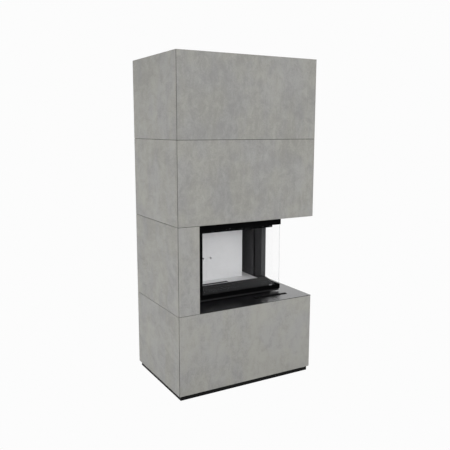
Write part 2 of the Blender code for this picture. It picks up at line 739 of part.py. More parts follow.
def dome_ring(half, radius, share, height):
    """Ring that turns from a rectangle (share 0) into a circle (share 1)."""
    half_along, half_inward = half
    corners = (
        (half_along, -half_inward),
        (half_along, half_inward),
        (-half_along, half_inward),
        (-half_along, -half_inward),
    )
    ring = []
    for side in range(4):
        (a, c), (b, d) = corners[side], corners[(side + 1) % 4]
        for i in range(DOME_STEPS_PER_SIDE):
            t = i / DOME_STEPS_PER_SIDE
            angle = math.pi / 2 * (side + t) - math.pi / 4
            flat = Vector((a + (b - a) * t, c + (d - c) * t))
            bend = Vector((math.cos(angle), math.sin(angle))) * radius
            point = flat.lerp(bend, share)
            ring.append(
                (point.x + OUTLET_FROM_SIDE, point.y + OUTLET_FROM_FRONT, height)
            )
    return ring


def build_dome():
    """Smoke dome: a sheet loft from the rectangular outlet to the round flue collar."""
    seat = BODY_TOP + CONTACT
    outer = (OUTLET_WIDTH / 2 + DOME_SHEET, OUTLET_DEPTH / 2 + DOME_SHEET)
    flange = (outer[0] + DOME_FLANGE, outer[1] + DOME_FLANGE)
    inner = (OUTLET_WIDTH / 2, OUTLET_DEPTH / 2)
    bore = COLLAR_RADIUS - DOME_SHEET
    rings = [
        dome_ring(flange, COLLAR_RADIUS, 0, seat),
        dome_ring(flange, COLLAR_RADIUS, 0, seat + DOME_SHEET),
        dome_ring(outer, COLLAR_RADIUS, 0, seat + DOME_SHEET),
    ]
    steps = [i / DOME_RINGS for i in range(DOME_RINGS + 1)]
    rise = DOME_NECK_HEIGHT - DOME_WALL_HEIGHT
    levels = [BODY_TOP + DOME_WALL_HEIGHT + rise * t for t in steps]
    shares = [t * t * (3 - 2 * t) for t in steps]
    rings += [dome_ring(outer, COLLAR_RADIUS, share, z) for share, z in zip(shares, levels)]
    rim = BODY_TOP + COLLAR_HEIGHT
    rings.append(dome_ring(outer, COLLAR_RADIUS, 1, rim))
    rings.append(dome_ring(inner, bore, 1, rim))
    rings += [dome_ring(inner, bore, share, z) for share, z in zip(shares[::-1], levels[::-1])]
    rings.append(dome_ring(inner, bore, 0, seat))
    piece("smoke_dome", "black_steel", loft(rings, closed=True), GLASS_FRONT, smooth=True)


def build_linings():
    """Refractory floor, back slabs, side linings and baffle."""
    seat = CHAMBER_FLOOR + CONTACT
    heights = (seat, LINING_TOP)
    right = CHAMBER_SIDE_SETBACK
    left = CHAMBER_LEFT
    inner_back = BODY_DEPTH - STEEL - CONTACT
    lip = LIP_SETBACK + LIP_RIDGE + CONTACT
    front_seat = BODY_SETBACK + STEEL + CONTACT
    wall_seat = BODY_LEFT - STEEL - CONTACT
    left_block = box((left, wall_seat), (front_seat, inner_back), heights)
    piece("left_lining", "dark_lining", left_block, GLASS_FRONT)
    post = (right - POST_LINING_WIDTH, right)
    post_inward = (POST_LINING_START, POST_LINING_START + POST_LINING_DEPTH)
    piece("right_post_lining", "dark_lining", box(post, post_inward, heights), GLASS_FRONT)
    rear = (right - REAR_LINING, right)
    rear_inward = (post_inward[1] + LINING_GAP, inner_back)
    piece("right_rear_lining", "dark_lining", box(rear, rear_inward, heights), GLASS_FRONT)
    build_floor(lip, inner_back)
    build_back_slabs()
    baffle_heights = (LINING_TOP + CONTACT, LINING_TOP + CONTACT + BAFFLE_THICKNESS)
    baffle_along = (BODY_SIDE_STEP + STEEL + CONTACT, wall_seat)
    baffle = box(baffle_along, (POST_LINING_START, inner_back), baffle_heights)
    piece("baffle", "light_lining", baffle, GLASS_FRONT)


def build_floor(lip, inner_back):
    """Floor slab, notched round the lip's end and the duct, with the grate's pocket."""
    right = CHAMBER_SIDE_SETBACK + CONTACT
    left = CHAMBER_LEFT - CONTACT
    duct = DUCT_FRONT - CONTACT
    notch = POST_LINING_START - CONTACT
    beside_duct = BACK_SLAB_RIGHT_END - CONTACT
    outline = [
        (left, lip),
        (lip, lip),
        (lip, notch),
        (right, notch),
        (right, inner_back),
        (beside_duct, inner_back),
        (beside_duct, duct),
        (left, duct),
    ]
    seat = CHAMBER_FLOOR + CONTACT
    floor = piece("floor_slab", "light_lining", prism(outline, seat, FLOOR_TOP), GLASS_FRONT)
    pocket = box(
        (GRATE_FROM_SIDE - CONTACT, GRATE_FROM_SIDE + GRATE_LENGTH + CONTACT),
        (GRATE_FROM_FRONT - CONTACT, GRATE_FROM_FRONT + GRATE_WIDTH + CONTACT),
        (seat - OVERRUN, FLOOR_TOP + OVERRUN),
    )
    cut(floor, pocket, GLASS_FRONT)


def build_back_slabs():
    """Two slabs that stand on the floor slab and meet at a seam, each with an air hole."""
    heights = (FLOOR_TOP + CONTACT, LINING_TOP)
    inward = (BACK_FACE, BACK_FACE + BACK_SLAB)
    seam = BACK_SEAM
    spans = (
        ("back_slab_right", (BACK_SLAB_RIGHT_END, seam - CONTACT)),
        ("back_slab_left", (seam + CONTACT, CHAMBER_LEFT - CONTACT)),
    )
    for (name, span), place in zip(spans, air_hole_places()):
        made = piece(name, "light_lining", box(span, inward, heights), GLASS_FRONT)
        hole = cylinder(
            (place, AIR_HOLE_HEIGHT),
            "y",
            AIR_HOLE_DIAMETER / 2,
            inward[0] - OVERRUN,
            inward[1] + OVERRUN,
            ROUND_STEPS,
        )
        cut(made, hole, GLASS_FRONT)


def build_grate():
    """Cast grate that drops into the floor slab: a rim and bars across it."""
    along = (GRATE_FROM_SIDE, GRATE_FROM_SIDE + GRATE_LENGTH)
    inward = (GRATE_FROM_FRONT, GRATE_FROM_FRONT + GRATE_WIDTH)
    grate = piece("grate", "cast_iron", box(along, inward, (CHAMBER_FLOOR + CONTACT, FLOOR_TOP)), GLASS_FRONT)
    clear = GRATE_LENGTH - 2 * GRATE_RIM - (GRATE_BARS - 1) * GRATE_BAR
    gap = clear / GRATE_BARS
    for i in range(GRATE_BARS):
        start = along[0] + GRATE_RIM + i * (gap + GRATE_BAR)
        slot = box(
            (start, start + gap),
            (inward[0] + GRATE_RIM, inward[1] - GRATE_RIM),
            (CHAMBER_FLOOR - OVERRUN, FLOOR_TOP + OVERRUN),
        )
        cut(grate, slot, GLASS_FRONT)


def build_lip():
    """Log lip: a sheet bent up from the floor to a ridge and down again, mitred at the glass corner."""
    foot = BODY_SETBACK + STEEL + CONTACT
    seat = CHAMBER_FLOOR + CONTACT
    ridge = CHAMBER_FLOOR + LIP_HEIGHT
    path = [
        (foot, seat),
        (foot, CHAMBER_FLOOR + LIP_FOOT_HEIGHT),
        (LIP_SETBACK, ridge),
        (LIP_SETBACK + LIP_RIDGE, ridge),
        (LIP_SETBACK + LIP_RIDGE, seat),
    ]
    lip = corner_sweep(bent_sheet(path, LIP_SHEET), CHAMBER_LEFT - CONTACT, POST_LINING_START - CONTACT)
    piece("lip", "black_steel", lip, GLASS_FRONT)


def build_inner_rail():
    """Rail that closes the firebox above the opening, with its lower edge turned in."""
    path = [
        (INNER_RAIL_SETBACK + INNER_RAIL_RETURN, BODY_TOP - INNER_RAIL_HEIGHT),
        (INNER_RAIL_SETBACK, BODY_TOP - INNER_RAIL_HEIGHT),
        (INNER_RAIL_SETBACK, BODY_TOP - BODY_TOP_THICKNESS - CONTACT),
    ]
    rail = corner_sweep(bent_sheet(path, STEEL), CHAMBER_LEFT - CONTACT, POST_LINING_START - CONTACT)
    piece("inner_rail", "black_steel", rail, GLASS_FRONT)


def rail_section(web, edge, inner_edge):
    """Channel section of a door rail from its web to its front edge and its shorter inner edge."""
    turn = 1 if edge > web else -1
    path = [(0, edge), (0, web), (DOOR_SECTION, web), (DOOR_SECTION, inner_edge)]
    return bent_sheet(path, -turn * DOOR_SHEET)


def build_door():
    """Corner door: mitred channel rails, stiles with tongues, two panes and a grip strip."""
    front_end = DOOR_FRONT_LENGTH
    side_end = DOOR_SIDE_LENGTH
    low = rail_section(BOTTOM_RAIL_LOW, BOTTOM_RAIL_HIGH, BOTTOM_RAIL_LOW + DOOR_INNER_FLANGE)
    high = rail_section(TOP_RAIL_HIGH, TOP_RAIL_LOW, TOP_RAIL_HIGH - DOOR_INNER_FLANGE)
    parts = [
        piece("door_bottom_rail", "black_steel", corner_sweep(low, front_end, side_end), GLASS_FRONT),
        piece("door_top_rail", "black_steel", corner_sweep(high, front_end, side_end), GLASS_FRONT),
        stile("door_left_stile", GLASS_FRONT, front_end),
        stile("door_rear_stile", GLASS_SIDE, side_end),
    ]
    parts += build_panes()
    grip_along = (GRIP_SETBACK, front_end)
    grip_inward = (GRIP_SETBACK, GRIP_SETBACK + GRIP_THICKNESS)
    grip_high = BOTTOM_RAIL_LOW - CONTACT
    grip = box(grip_along, grip_inward, (grip_high - GRIP_HEIGHT, grip_high))
    parts.append(piece("door_grip", "grey_steel", grip, GLASS_FRONT))
    hang_on("door_carriage", (GLASS_CORNER_X, GLASS_CORNER_Y, BOTTOM_RAIL_LOW), parts)


def stile(name, run, end):
    """Upright channel round the pane's edge, with the tongue that runs in the guide."""
    heights = (BOTTOM_RAIL_HIGH + CONTACT, TOP_RAIL_LOW - CONTACT)
    inner = end - STILE_INNER_FLANGE
    outline = [
        (end - STILE_WIDTH, 0),
        (end, 0),
        (end, TONGUE_LOW),
        (end + TONGUE_WIDTH, TONGUE_LOW),
        (end + TONGUE_WIDTH, TONGUE_HIGH),
        (end, TONGUE_HIGH),
        (end, DOOR_SECTION),
        (inner, DOOR_SECTION),
        (inner, DOOR_SECTION - DOOR_SHEET),
        (end - DOOR_SHEET, DOOR_SECTION - DOOR_SHEET),
        (end - DOOR_SHEET, DOOR_SHEET),
        (end - STILE_WIDTH, DOOR_SHEET),
    ]
    return piece(name, "black_steel", prism(outline, *heights), run)


def build_panes():
    """Front pane, whose edge covers the side pane's at the frameless corner."""
    low = BOTTOM_RAIL_LOW + DOOR_SHEET + CONTACT
    high = TOP_RAIL_HIGH - DOOR_SHEET - CONTACT
    face = DOOR_SHEET + CONTACT
    pane_end = DOOR_SHEET + CONTACT
    front = box((face, DOOR_FRONT_LENGTH - pane_end), (face, face + GLASS), (low, high))
    side = box((face + GLASS + CONTACT, DOOR_SIDE_LENGTH - pane_end), (face, face + GLASS), (low, high))
    return [
        piece("front_glass", "glass", front, GLASS_FRONT),
        piece("side_glass", "glass", side, GLASS_SIDE),
    ]


def build_lifting_gear():
    """Guide, pulley, cable runs and counterweight at each end of the door."""
    build_gear("left", GLASS_FRONT, DOOR_FRONT_LENGTH, GUIDE_HIGH_SETBACK)
    build_gear("right", GLASS_SIDE, DOOR_SIDE_LENGTH, BODY_SIDE_STEP - CONTACT)


def build_gear(side, run, end, foot_setback):
    """Lifting gear beyond one end of the door, along its run."""
    cable = end + CABLE_FROM_STILE
    axle = cable + PULLEY_PITCH
    far = axle + PULLEY_PITCH
    build_guide(side, run, end, axle, foot_setback)
    build_pulley(side, run, axle)
    middle = (TONGUE_LOW + TONGUE_HIGH) / 2
    tongue_top = TOP_RAIL_LOW - CONTACT
    for name, place, low in (("door", cable, tongue_top), ("weight", far, WEIGHT_TOP)):
        bar = cylinder(
            (place, middle), "z", CABLE_DIAMETER / 2, low + CONTACT, PULLEY_HEIGHT, CABLE_STEPS
        )
        piece(f"{side}_{name}_cable", "cable_steel", bar, run, smooth=True)
    weight_along = (far - WEIGHT_WIDTH / 2, far + WEIGHT_WIDTH / 2)
    weight_inward = (WEIGHT_SETBACK, WEIGHT_SETBACK + WEIGHT_THICKNESS)
    block = box(weight_along, weight_inward, (WEIGHT_TOP - WEIGHT_HEIGHT, WEIGHT_TOP))
    weight = piece(f"{side}_counterweight", "cast_iron", block, run)
    bevel(weight, WEIGHT_EDGE)
    hang_on(f"{side}_weight_line", run @ Vector((far, middle, WEIGHT_TOP)), [weight])


def build_guide(side, run, end, axle, foot_setback):
    """Channel that the stile's tongue runs in, with the door's stop below and the axle above."""
    near = end + GUIDE_START
    far = end + TONGUE_WIDTH + TONGUE_END_GAP + GUIDE_WALL
    path = [
        (near, GUIDE_LOW_SETBACK),
        (far, GUIDE_LOW_SETBACK),
        (far, GUIDE_HIGH_SETBACK),
        (near, GUIDE_HIGH_SETBACK),
    ]
    outline = bent_sheet(path, -GUIDE_WALL)
    guide = piece(f"{side}_guide", "grey_steel", prism(outline, BODY_BOTTOM, GUIDE_TOP), run)
    stop = box((near, far), (GUIDE_LOW_SETBACK, foot_setback), (BODY_BOTTOM, BOTTOM_RAIL_HIGH))
    add(guide, stop, run)
    cheek_along = (end + TONGUE_WIDTH + GUIDE_START, axle + CHEEK_MARGIN)
    cheek_heights = (GUIDE_TOP - CHEEK_MARGIN, PULLEY_HEIGHT + CHEEK_MARGIN)
    for setback in (GUIDE_LOW_SETBACK, GUIDE_HIGH_SETBACK - GUIDE_WALL):
        cheek = box(cheek_along, (setback, setback + GUIDE_WALL), cheek_heights)
        add(guide, cheek, run)
    pin = cylinder(
        (axle, PULLEY_HEIGHT),
        "y",
        AXLE_DIAMETER / 2,
        GUIDE_LOW_SETBACK,
        GUIDE_HIGH_SETBACK,
        ROUND_STEPS,
    )
    add(guide, pin, run)


def build_pulley(side, run, axle):
    """Grooved wheel turned about its axle, with lightening holes."""
    middle = (TONGUE_LOW + TONGUE_HIGH) / 2
    half = (TONGUE_HIGH - TONGUE_LOW) / 2
    bore = AXLE_DIAMETER / 2 + AXLE_CLEARANCE
    groove = PULLEY_PITCH - CABLE_DIAMETER / 2 - CONTACT
    groove_half = CABLE_DIAMETER / 2 + CONTACT
    ring_inner = groove - PULLEY_RIM_WALL
    web = PULLEY_WEB / 2
    half_section = [
        (bore, half),
        (PULLEY_HUB, half),
        (PULLEY_HUB, web),
        (ring_inner, web),
        (ring_inner, half),
        (PULLEY_PITCH + PULLEY_FLANGE, half),
        (groove, groove_half),
    ]
    section = half_section + [(radius, -offset) for radius, offset in half_section[::-1]]
    rings = []
    for i in range(ROUND_STEPS):
        angle = 2 * math.pi * i / ROUND_STEPS
        ring = [
            (axle + radius * math.cos(angle), middle + offset, PULLEY_HEIGHT + radius * math.sin(angle))
            for radius, offset in section
        ]
        rings.append(ring)
    pulley = piece(f"{side}_pulley", "grey_steel", loft(rings, closed=True), run, smooth=True)
    for i in range(PULLEY_HOLES):
        angle = 2 * math.pi * i / PULLEY_HOLES
        centre = (
            axle + PULLEY_HOLE_CIRCLE * math.cos(angle),
            PULLEY_HEIGHT + PULLEY_HOLE_CIRCLE * math.sin(angle),
        )
        hole = cylinder(
            centre, "y", PULLEY_HOLE / 2, middle - half, middle + half, ROUND_STEPS // 2
        )
        cut(pulley, hole, run)
    hang_on(f"{side}_pulley_axle", run @ Vector((axle, middle, PULLEY_HEIGHT)), [pulley])


def build_fascias():
    """Plates that hide the lifting gear beyond each end of the door."""
    heights = (SHELF_HIGH + CONTACT, BODY_TOP)
    reach = CABLE_FROM_STILE + 2 * PULLEY_PITCH + WEIGHT_WIDTH / 2 + FASCIA_MARGIN
    for side, run, end in (("left", GLASS_FRONT, DOOR_FRONT_LENGTH), ("right", GLASS_SIDE, DOOR_SIDE_LENGTH)):
        along = (end + GUIDE_START, end + GUIDE_START + reach)
        plate = box(along, (0, FASCIA_THICKNESS), heights)
        piece(f"fascia_{side}", "black_steel", plate, run)


def slider_start():
    """Left end of the slider's neck at rest, against the slot's left end."""
    slot_left = GLASS_CORNER_X + SLOT_RIGHT_OVERHANG - SLOT_LENGTH
    return slot_left + SLIDER_SLOT_CLEARANCE


def shutter_start():
    """Left end of the shutter at rest, centred on the slider."""
    return slider_start() + (SLIDER_LENGTH - SHUTTER_WIDTH) / 2


def shutter_low():
    """Lower edge of the shutter, which hangs from the slider's arm."""
    return SHELF_LOW - SLIDER_ARM_DROP + SLIDER_SHEET - SHUTTER_HEIGHT


def build_air_slider():
    """Tab on the shelf, neck through the slot, arm below and shutter over the tray's port."""
    start = slider_start()
    neck_along = (start, start + SLIDER_LENGTH)
    neck_inward = (SLOT_DEPTH + SLIDER_SLOT_CLEARANCE, SLOT_DEPTH + SLOT_WIDTH - SLIDER_SLOT_CLEARANCE)
    arm_low = SHELF_LOW - SLIDER_ARM_DROP
    tab_low = SHELF_HIGH + CONTACT
    slider = piece("air_slider", "black_steel", box(neck_along, neck_inward, (arm_low, tab_low)), HOUSE)
    tab_inward = (SLOT_DEPTH - SLIDER_TAB_MARGIN, SLOT_DEPTH + SLOT_WIDTH + SLIDER_TAB_MARGIN)
    add(slider, box(neck_along, tab_inward, (tab_low, tab_low + SLIDER_TAB_HEIGHT)), HOUSE)
    tray_front = GLASS_SETBACK + TRAY_SETBACK - CONTACT
    add(slider, box(neck_along, (tab_inward[0], tray_front), (arm_low, arm_low + SLIDER_SHEET)), HOUSE)
    shutter_along = (shutter_start(), shutter_start() + SHUTTER_WIDTH)
    shutter_heights = (shutter_low(), shutter_low() + SHUTTER_HEIGHT)
    add(slider, box(shutter_along, (tray_front - SLIDER_SHEET, tray_front), shutter_heights), HOUSE)
    hang_on("air_slider_line", HOUSE @ Vector((start, SLOT_DEPTH, SHELF_HIGH)), [slider])


def main():
    clear_scene()
    build_plinth()
    build_base_row()
    build_fire_row()
    build_hood_row()
    build_top_row()
    build_shelf()
    build_frame()
    build_stand()
    build_firebox()
    build_air_tray()
    build_air_duct()
    build_dome()
    build_linings()
    build_grate()
    build_lip()
    build_inner_rail()
    build_door()
    build_lifting_gear()
    build_fascias()
    build_air_slider()


main()
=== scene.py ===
# Its glass corner lifts on cables and counterweights, and a glossy black shelf runs in front of
# it. The packed part already holds every solid in its place. This script adds what a solid can't
# tell: the finish of each surface, and small things such as cables over the pulleys, screws, seals
# and weld seams.

import math

import bmesh
import bpy
import numpy as np
from mathutils import Matrix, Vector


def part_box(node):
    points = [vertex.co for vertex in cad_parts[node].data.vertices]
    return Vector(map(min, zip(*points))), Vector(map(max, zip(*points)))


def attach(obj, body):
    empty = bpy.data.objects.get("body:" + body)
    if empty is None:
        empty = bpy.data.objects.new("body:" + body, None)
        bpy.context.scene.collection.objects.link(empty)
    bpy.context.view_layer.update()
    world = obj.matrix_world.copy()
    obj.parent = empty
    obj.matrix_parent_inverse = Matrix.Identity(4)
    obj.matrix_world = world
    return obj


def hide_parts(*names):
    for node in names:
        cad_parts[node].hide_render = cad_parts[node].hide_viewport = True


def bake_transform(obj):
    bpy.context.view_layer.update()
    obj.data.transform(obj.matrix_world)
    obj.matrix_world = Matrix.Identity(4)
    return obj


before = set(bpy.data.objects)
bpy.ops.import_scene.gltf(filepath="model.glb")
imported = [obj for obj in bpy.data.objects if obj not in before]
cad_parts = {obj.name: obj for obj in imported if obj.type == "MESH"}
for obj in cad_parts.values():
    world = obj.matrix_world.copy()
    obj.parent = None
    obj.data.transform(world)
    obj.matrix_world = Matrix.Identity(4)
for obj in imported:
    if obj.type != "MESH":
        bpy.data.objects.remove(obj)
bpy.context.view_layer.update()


def rounded(numbers):
    """Numbers with four digits after the point, for printing."""
    return tuple(round(float(number), 4) for number in numbers)


# %% [markdown]
# ## Camera
# The photograph was taken at eye level from the front left, close enough for the slab joints to run
# together a little. A camera is a place, three angles and a lens. The angles turn its axes into the
# columns of one matrix, which is easier to read than a chain of rotations.

# %% Axes of the camera
YAW = math.radians(29.739)
PITCH = math.radians(-9.367)
ROLL = math.radians(0.097)


def camera_axes(yaw, pitch, roll):
    """Right, up and backward axes. Forward is the direction of yaw and pitch, right is level, and up
    is their cross product; roll turns right and up round forward."""
    forward = np.array((math.sin(yaw) * math.cos(pitch), math.cos(yaw) * math.cos(pitch), math.sin(pitch)))
    level = np.array((math.cos(yaw), -math.sin(yaw), 0.0))
    up = np.cross(level, forward)
    right = level * math.cos(roll) + up * math.sin(roll)
    return np.stack((right, up * math.cos(roll) - level * math.sin(roll), -forward), axis=1)


AXES = camera_axes(YAW, PITCH, ROLL)
print("the camera looks along", rounded(-AXES[:, 2]))

# %% Camera at the photograph's place
# The eye is in metres, and lens and film are in millimetres.
EYE = np.array((-1.8547, -3.2671, 1.6035))
LENS = 46.475
FILM = 36.0


def put(thing, axes, place):
    """Links an object whose matrix has its own axes as columns and its place as the last one."""
    matrix = np.eye(4)
    matrix[:3, :3] = axes
    matrix[:3, 3] = place
    thing.matrix_world = Matrix(matrix.tolist())
    bpy.context.scene.collection.objects.link(thing)


def place_camera():
    """A camera at the eye, with the photograph's lens."""
    lens = bpy.data.cameras.new("camera")
    lens.lens = LENS
    lens.sensor_width = FILM
    lens.sensor_fit = "HORIZONTAL"
    camera = bpy.data.objects.new("camera", lens)
    put(camera, AXES, EYE)
    bpy.context.scene.camera = camera
    return camera


print("camera:", place_camera().name, "with a lens of", LENS, "mm")

# %% [markdown]
# ## Shader maths
# A finish that varies over a surface is a formula: some noise, times something, plus something else.
# Written as nodes by hand it is long and hard to read. One small class wraps a socket, so that an
# expression such as 1 - mask * 0.3 adds the Math nodes by itself. Every other node comes from the
# single method that takes its type, its settings and its inputs.

# %% A number that flows through a material
class Value:
    """An output socket of a finish. The signs + - * write Math nodes with it."""

    def __init__(self, finish, socket):
        self.finish = finish
        self.socket = socket

    def combine(self, operation, first, second):
        """The result of a Math node on two numbers or values."""
        return self.finish.node("ShaderNodeMath", {"operation": operation}, {0: first, 1: second})

    def __add__(self, other):
        return self.combine("ADD", self, other)

    def __sub__(self, other):
        return self.combine("SUBTRACT", self, other)

    def __rsub__(self, other):
        return self.combine("SUBTRACT", other, self)

    def __mul__(self, other):
        return self.combine("MULTIPLY", self, other)

    __radd__ = __add__
    __rmul__ = __mul__


print("values add, subtract and multiply")

# %% A finish is a material under construction
# A Mix node has its own sockets for each type of data. These are the factor, the two colours and the
# result of the RGBA type.
MIX_INPUTS = (0, 6, 7)
MIX_RESULT = 2


class Finish:
    """A material with one Principled shader, whose varying inputs are fed by expressions."""

    def __init__(self, name, colour, **constants):
        self.material = bpy.data.materials.new(name)
        self.material.use_nodes = True
        self.tree = self.material.node_tree
        self.tree.nodes.clear()
        self.shader = self.tree.nodes.new("ShaderNodeBsdfPrincipled")
        output = self.tree.nodes.new("ShaderNodeOutputMaterial")
        self.tree.links.new(self.shader.outputs[0], output.inputs[0])
        self.set(Base_Color=colour, **constants)

    def feed(self, socket, value):
        """A Value is linked to the socket, and anything else is set on it."""
        if isinstance(value, Value):
            self.tree.links.new(value.socket, socket)
        elif socket.type == "RGBA" and len(value) == 3:
            socket.default_value = (*value, 1.0)
        else:
            socket.default_value = value

    def set(self, **inputs):
        """Feeds the shader's inputs; Base_Color stands for Base Color."""
        for name, value in inputs.items():
            self.feed(self.shader.inputs[name.replace("_", " ")], value)

    def node(self, kind, settings=None, inputs=None, output=0):
        """Adds one node: its settings first, then a value or link for each of its sockets."""
        made = self.tree.nodes.new(kind)
        for name, setting in (settings or {}).items():
            setattr(made, name, setting)
        for name, value in (inputs or {}).items():
            self.feed(made.inputs[name], value)
        return Value(self, made.outputs[output])

    def place(self, stretch=(1.0, 1.0, 1.0), shift=(0.0, 0.0, 0.0)):
        """The point's own coordinates, each multiplied by its stretch and then moved by its shift."""
        coordinates = self.node("ShaderNodeTexCoord", output="Object")
        inputs = {"Vector": coordinates, "Scale": stretch, "Location": shift}
        return self.node("ShaderNodeMapping", None, inputs)

    def noise(self, where, scale, detail=3.0, roughness=0.5, distortion=0.0):
        """Cloudy noise from 0 to 1, with scale features in a metre."""
        inputs = {"Vector": where, "Scale": scale, "Detail": detail, "Roughness": roughness}
        inputs["Distortion"] = distortion
        return self.node("ShaderNodeTexNoise", None, inputs)

    def between(self, value, low, high):
        """0 below low, 1 above high and a smooth step between them."""
        inputs = {"Value": value, "From Min": low, "From Max": high}
        return self.node("ShaderNodeMapRange", {"interpolation_type": "SMOOTHSTEP"}, inputs)

    def blend(self, mask, first, second):
        """The first colour where the mask is 0 and the second where it is 1."""
        inputs = dict(zip(MIX_INPUTS, (mask, first, second)))
        return self.node("ShaderNodeMix", {"data_type": "RGBA"}, inputs, MIX_RESULT)

    def bump(self, height, depth, strength=1.0):
        """A normal bent by a height from 0 to 1 that is worth depth metres."""
        inputs = {"Height": height, "Distance": depth, "Strength": strength}
        return self.node("ShaderNodeBump", None, inputs)


print("a finish can:", ", ".join(name for name in vars(Finish) if not name.startswith("_")))


# %% Dress packed nodes
def dress(finish, *nodes):
    """Gives packed nodes a finish by their material slots, and leaves their shapes alone."""
    for name in nodes:
        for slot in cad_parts[name].material_slots:
            slot.material = finish.material
    print(finish.material.name, "on", ", ".join(nodes))


print("material slots to dress:", sum(len(node.material_slots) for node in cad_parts.values()))

# %% [markdown] ## Room and light The photograph is a studio picture on white with no shadow in it.
# The room is one pale floor and a white sky. Six large soft lamps give the rest, each for its own
# face: two at the front reach into the fire chamber too, a low one lights the left side, one stands
# behind, the shelf mirrors the one at the far right, and a weak one fills the right side. Their watts
# come from one render for each lamp alone: the mix whose greys are nearest to the photograph's.

# %% White only where it is seen
SMOOTH_RAYS = ("Is Camera Ray", "Is Glossy Ray", "Is Transmission Ray")


def seen_directly(tree):
    """1 on rays from the camera, from gloss and through glass: the largest of three Light Path values."""
    path = tree.nodes.new("ShaderNodeLightPath")
    seen = path.outputs[SMOOTH_RAYS[0]]
    for name in SMOOTH_RAYS[1:]:
        larger = tree.nodes.new("ShaderNodeMath")
        larger.operation = "MAXIMUM"
        tree.links.new(seen, larger.inputs[0])
        tree.links.new(path.outputs[name], larger.inputs[1])
        seen = larger.outputs[0]
    return seen


def grey_node(tree, kind, grey):
    """A background, emission or diffuse node with an even grey."""
    node = tree.nodes.new(kind)
    node.inputs["Color"].default_value = (grey, grey, grey, 1.0)
    return node


def mix_by_sight(tree, unseen, seen, output):
    """The output's shader: the second one where it is seen directly and the first where it lights."""
    mix = tree.nodes.new("ShaderNodeMixShader")
    tree.links.new(seen_directly(tree), mix.inputs[0])
    tree.links.new(unseen.outputs[0], mix.inputs[1])
    tree.links.new(seen.outputs[0], mix.inputs[2])
    tree.links.new(mix.outputs[0], tree.nodes.new(output).inputs[0])


print("white on:", ", ".join(SMOOTH_RAYS))

# %% Sky
BACKGROUND = 0.9735
SKY_LIGHT = 0.17


def make_sky():
    """A world of two backgrounds: white where it is seen directly and weaker where it gives light."""
    world = bpy.data.worlds.new("studio")
    world.use_nodes = True
    tree = world.node_tree
    tree.nodes.clear()
    lighting = grey_node(tree, "ShaderNodeBackground", 1.0)
    lighting.inputs["Strength"].default_value = SKY_LIGHT
    white = grey_node(tree, "ShaderNodeBackground", BACKGROUND)
    mix_by_sight(tree, lighting, white, "ShaderNodeOutputWorld")
    bpy.context.scene.world = world
    bpy.context.scene.view_settings.view_transform = "Standard"
    return world


print("sky:", make_sky().name)

# %% Floor
FLOOR_REACH = 30.0
FLOOR_GREY = 0.90


def make_floor():
    """A large flat square at z = 0 that gives light as pale paint and is seen as white as the sky."""
    corners = np.array(((-1, -1, 0), (1, -1, 0), (1, 1, 0), (-1, 1, 0))) * FLOOR_REACH
    mesh = bpy.data.meshes.new("floor")
    mesh.from_pydata(corners.tolist(), [], [(0, 1, 2, 3)])
    floor = bpy.data.objects.new("floor", mesh)
    bpy.context.scene.collection.objects.link(floor)
    material = bpy.data.materials.new("pale_floor")
    material.use_nodes = True
    tree = material.node_tree
    tree.nodes.clear()
    paint = grey_node(tree, "ShaderNodeBsdfDiffuse", FLOOR_GREY)
    glow = grey_node(tree, "ShaderNodeEmission", BACKGROUND)
    mix_by_sight(tree, paint, glow, "ShaderNodeOutputMaterial")
    mesh.materials.append(material)
    return floor


print("floor:", make_floor().name)

# %% Soft lamps
LAMPS = (
    # name, place, aim, width and height of the shining face, watts
    ("front_lamp", (0.8, -5.0, 1.7), (0.0, 0.0, 0.8), (3.0, 3.0), 77.0),
    ("high_lamp", (-1.2, -5.2, 3.4), (0.0, 0.0, 0.9), (3.0, 3.0), 103.0),
    ("left_lamp", (-5.2, -0.4, 0.65), (0.0, 0.0, 0.6), (3.0, 1.2), 122.0),
    ("rear_lamp", (-1.6, 5.2, 2.4), (0.0, 0.0, 1.0), (3.0, 3.0), 70.0),
    ("shelf_lamp", (3.6, 4.0, 2.1), (0.0, 0.0, 0.9), (3.0, 3.0), 57.0),
    ("right_lamp", (5.4, -0.8, 2.2), (0.0, 0.0, 1.0), (3.0, 3.0), 30.0),
)


def make_lamp(name, place, aim, face, watts):
    """An area lamp with a rectangular face that shines from its place towards its aim."""
    light = bpy.data.lights.new(name, "AREA")
    light.shape = "RECTANGLE"
    light.size, light.size_y = face
    light.energy = watts
    lamp = bpy.data.objects.new(name, light)
    backward = np.array(place, float) - np.array(aim, float)
    backward /= np.linalg.norm(backward)
    right = np.cross((0.0, 0.0, 1.0), backward)
    right /= np.linalg.norm(right)
    put(lamp, np.stack((right, np.cross(backward, right), backward), axis=1), place)


for lamp in LAMPS:
    make_lamp(*lamp)
print("lamps:", ", ".join(lamp[0] for lamp in LAMPS))

# %% [markdown]
# ## Cast concrete
# The slabs are cast in smooth moulds. Their grey is cloudy: soft patches as wide as a hand, taller
# than wide, because the mix settles downwards, then thin streaks, pale flecks and a few pin holes.
# Each slab is cast by itself, so its pattern doesn't go on in its neighbour, and its grey is a little
# off from theirs. The formula is the same for all. Each slab reads it from its own place in the noise
# and adds its own small number.

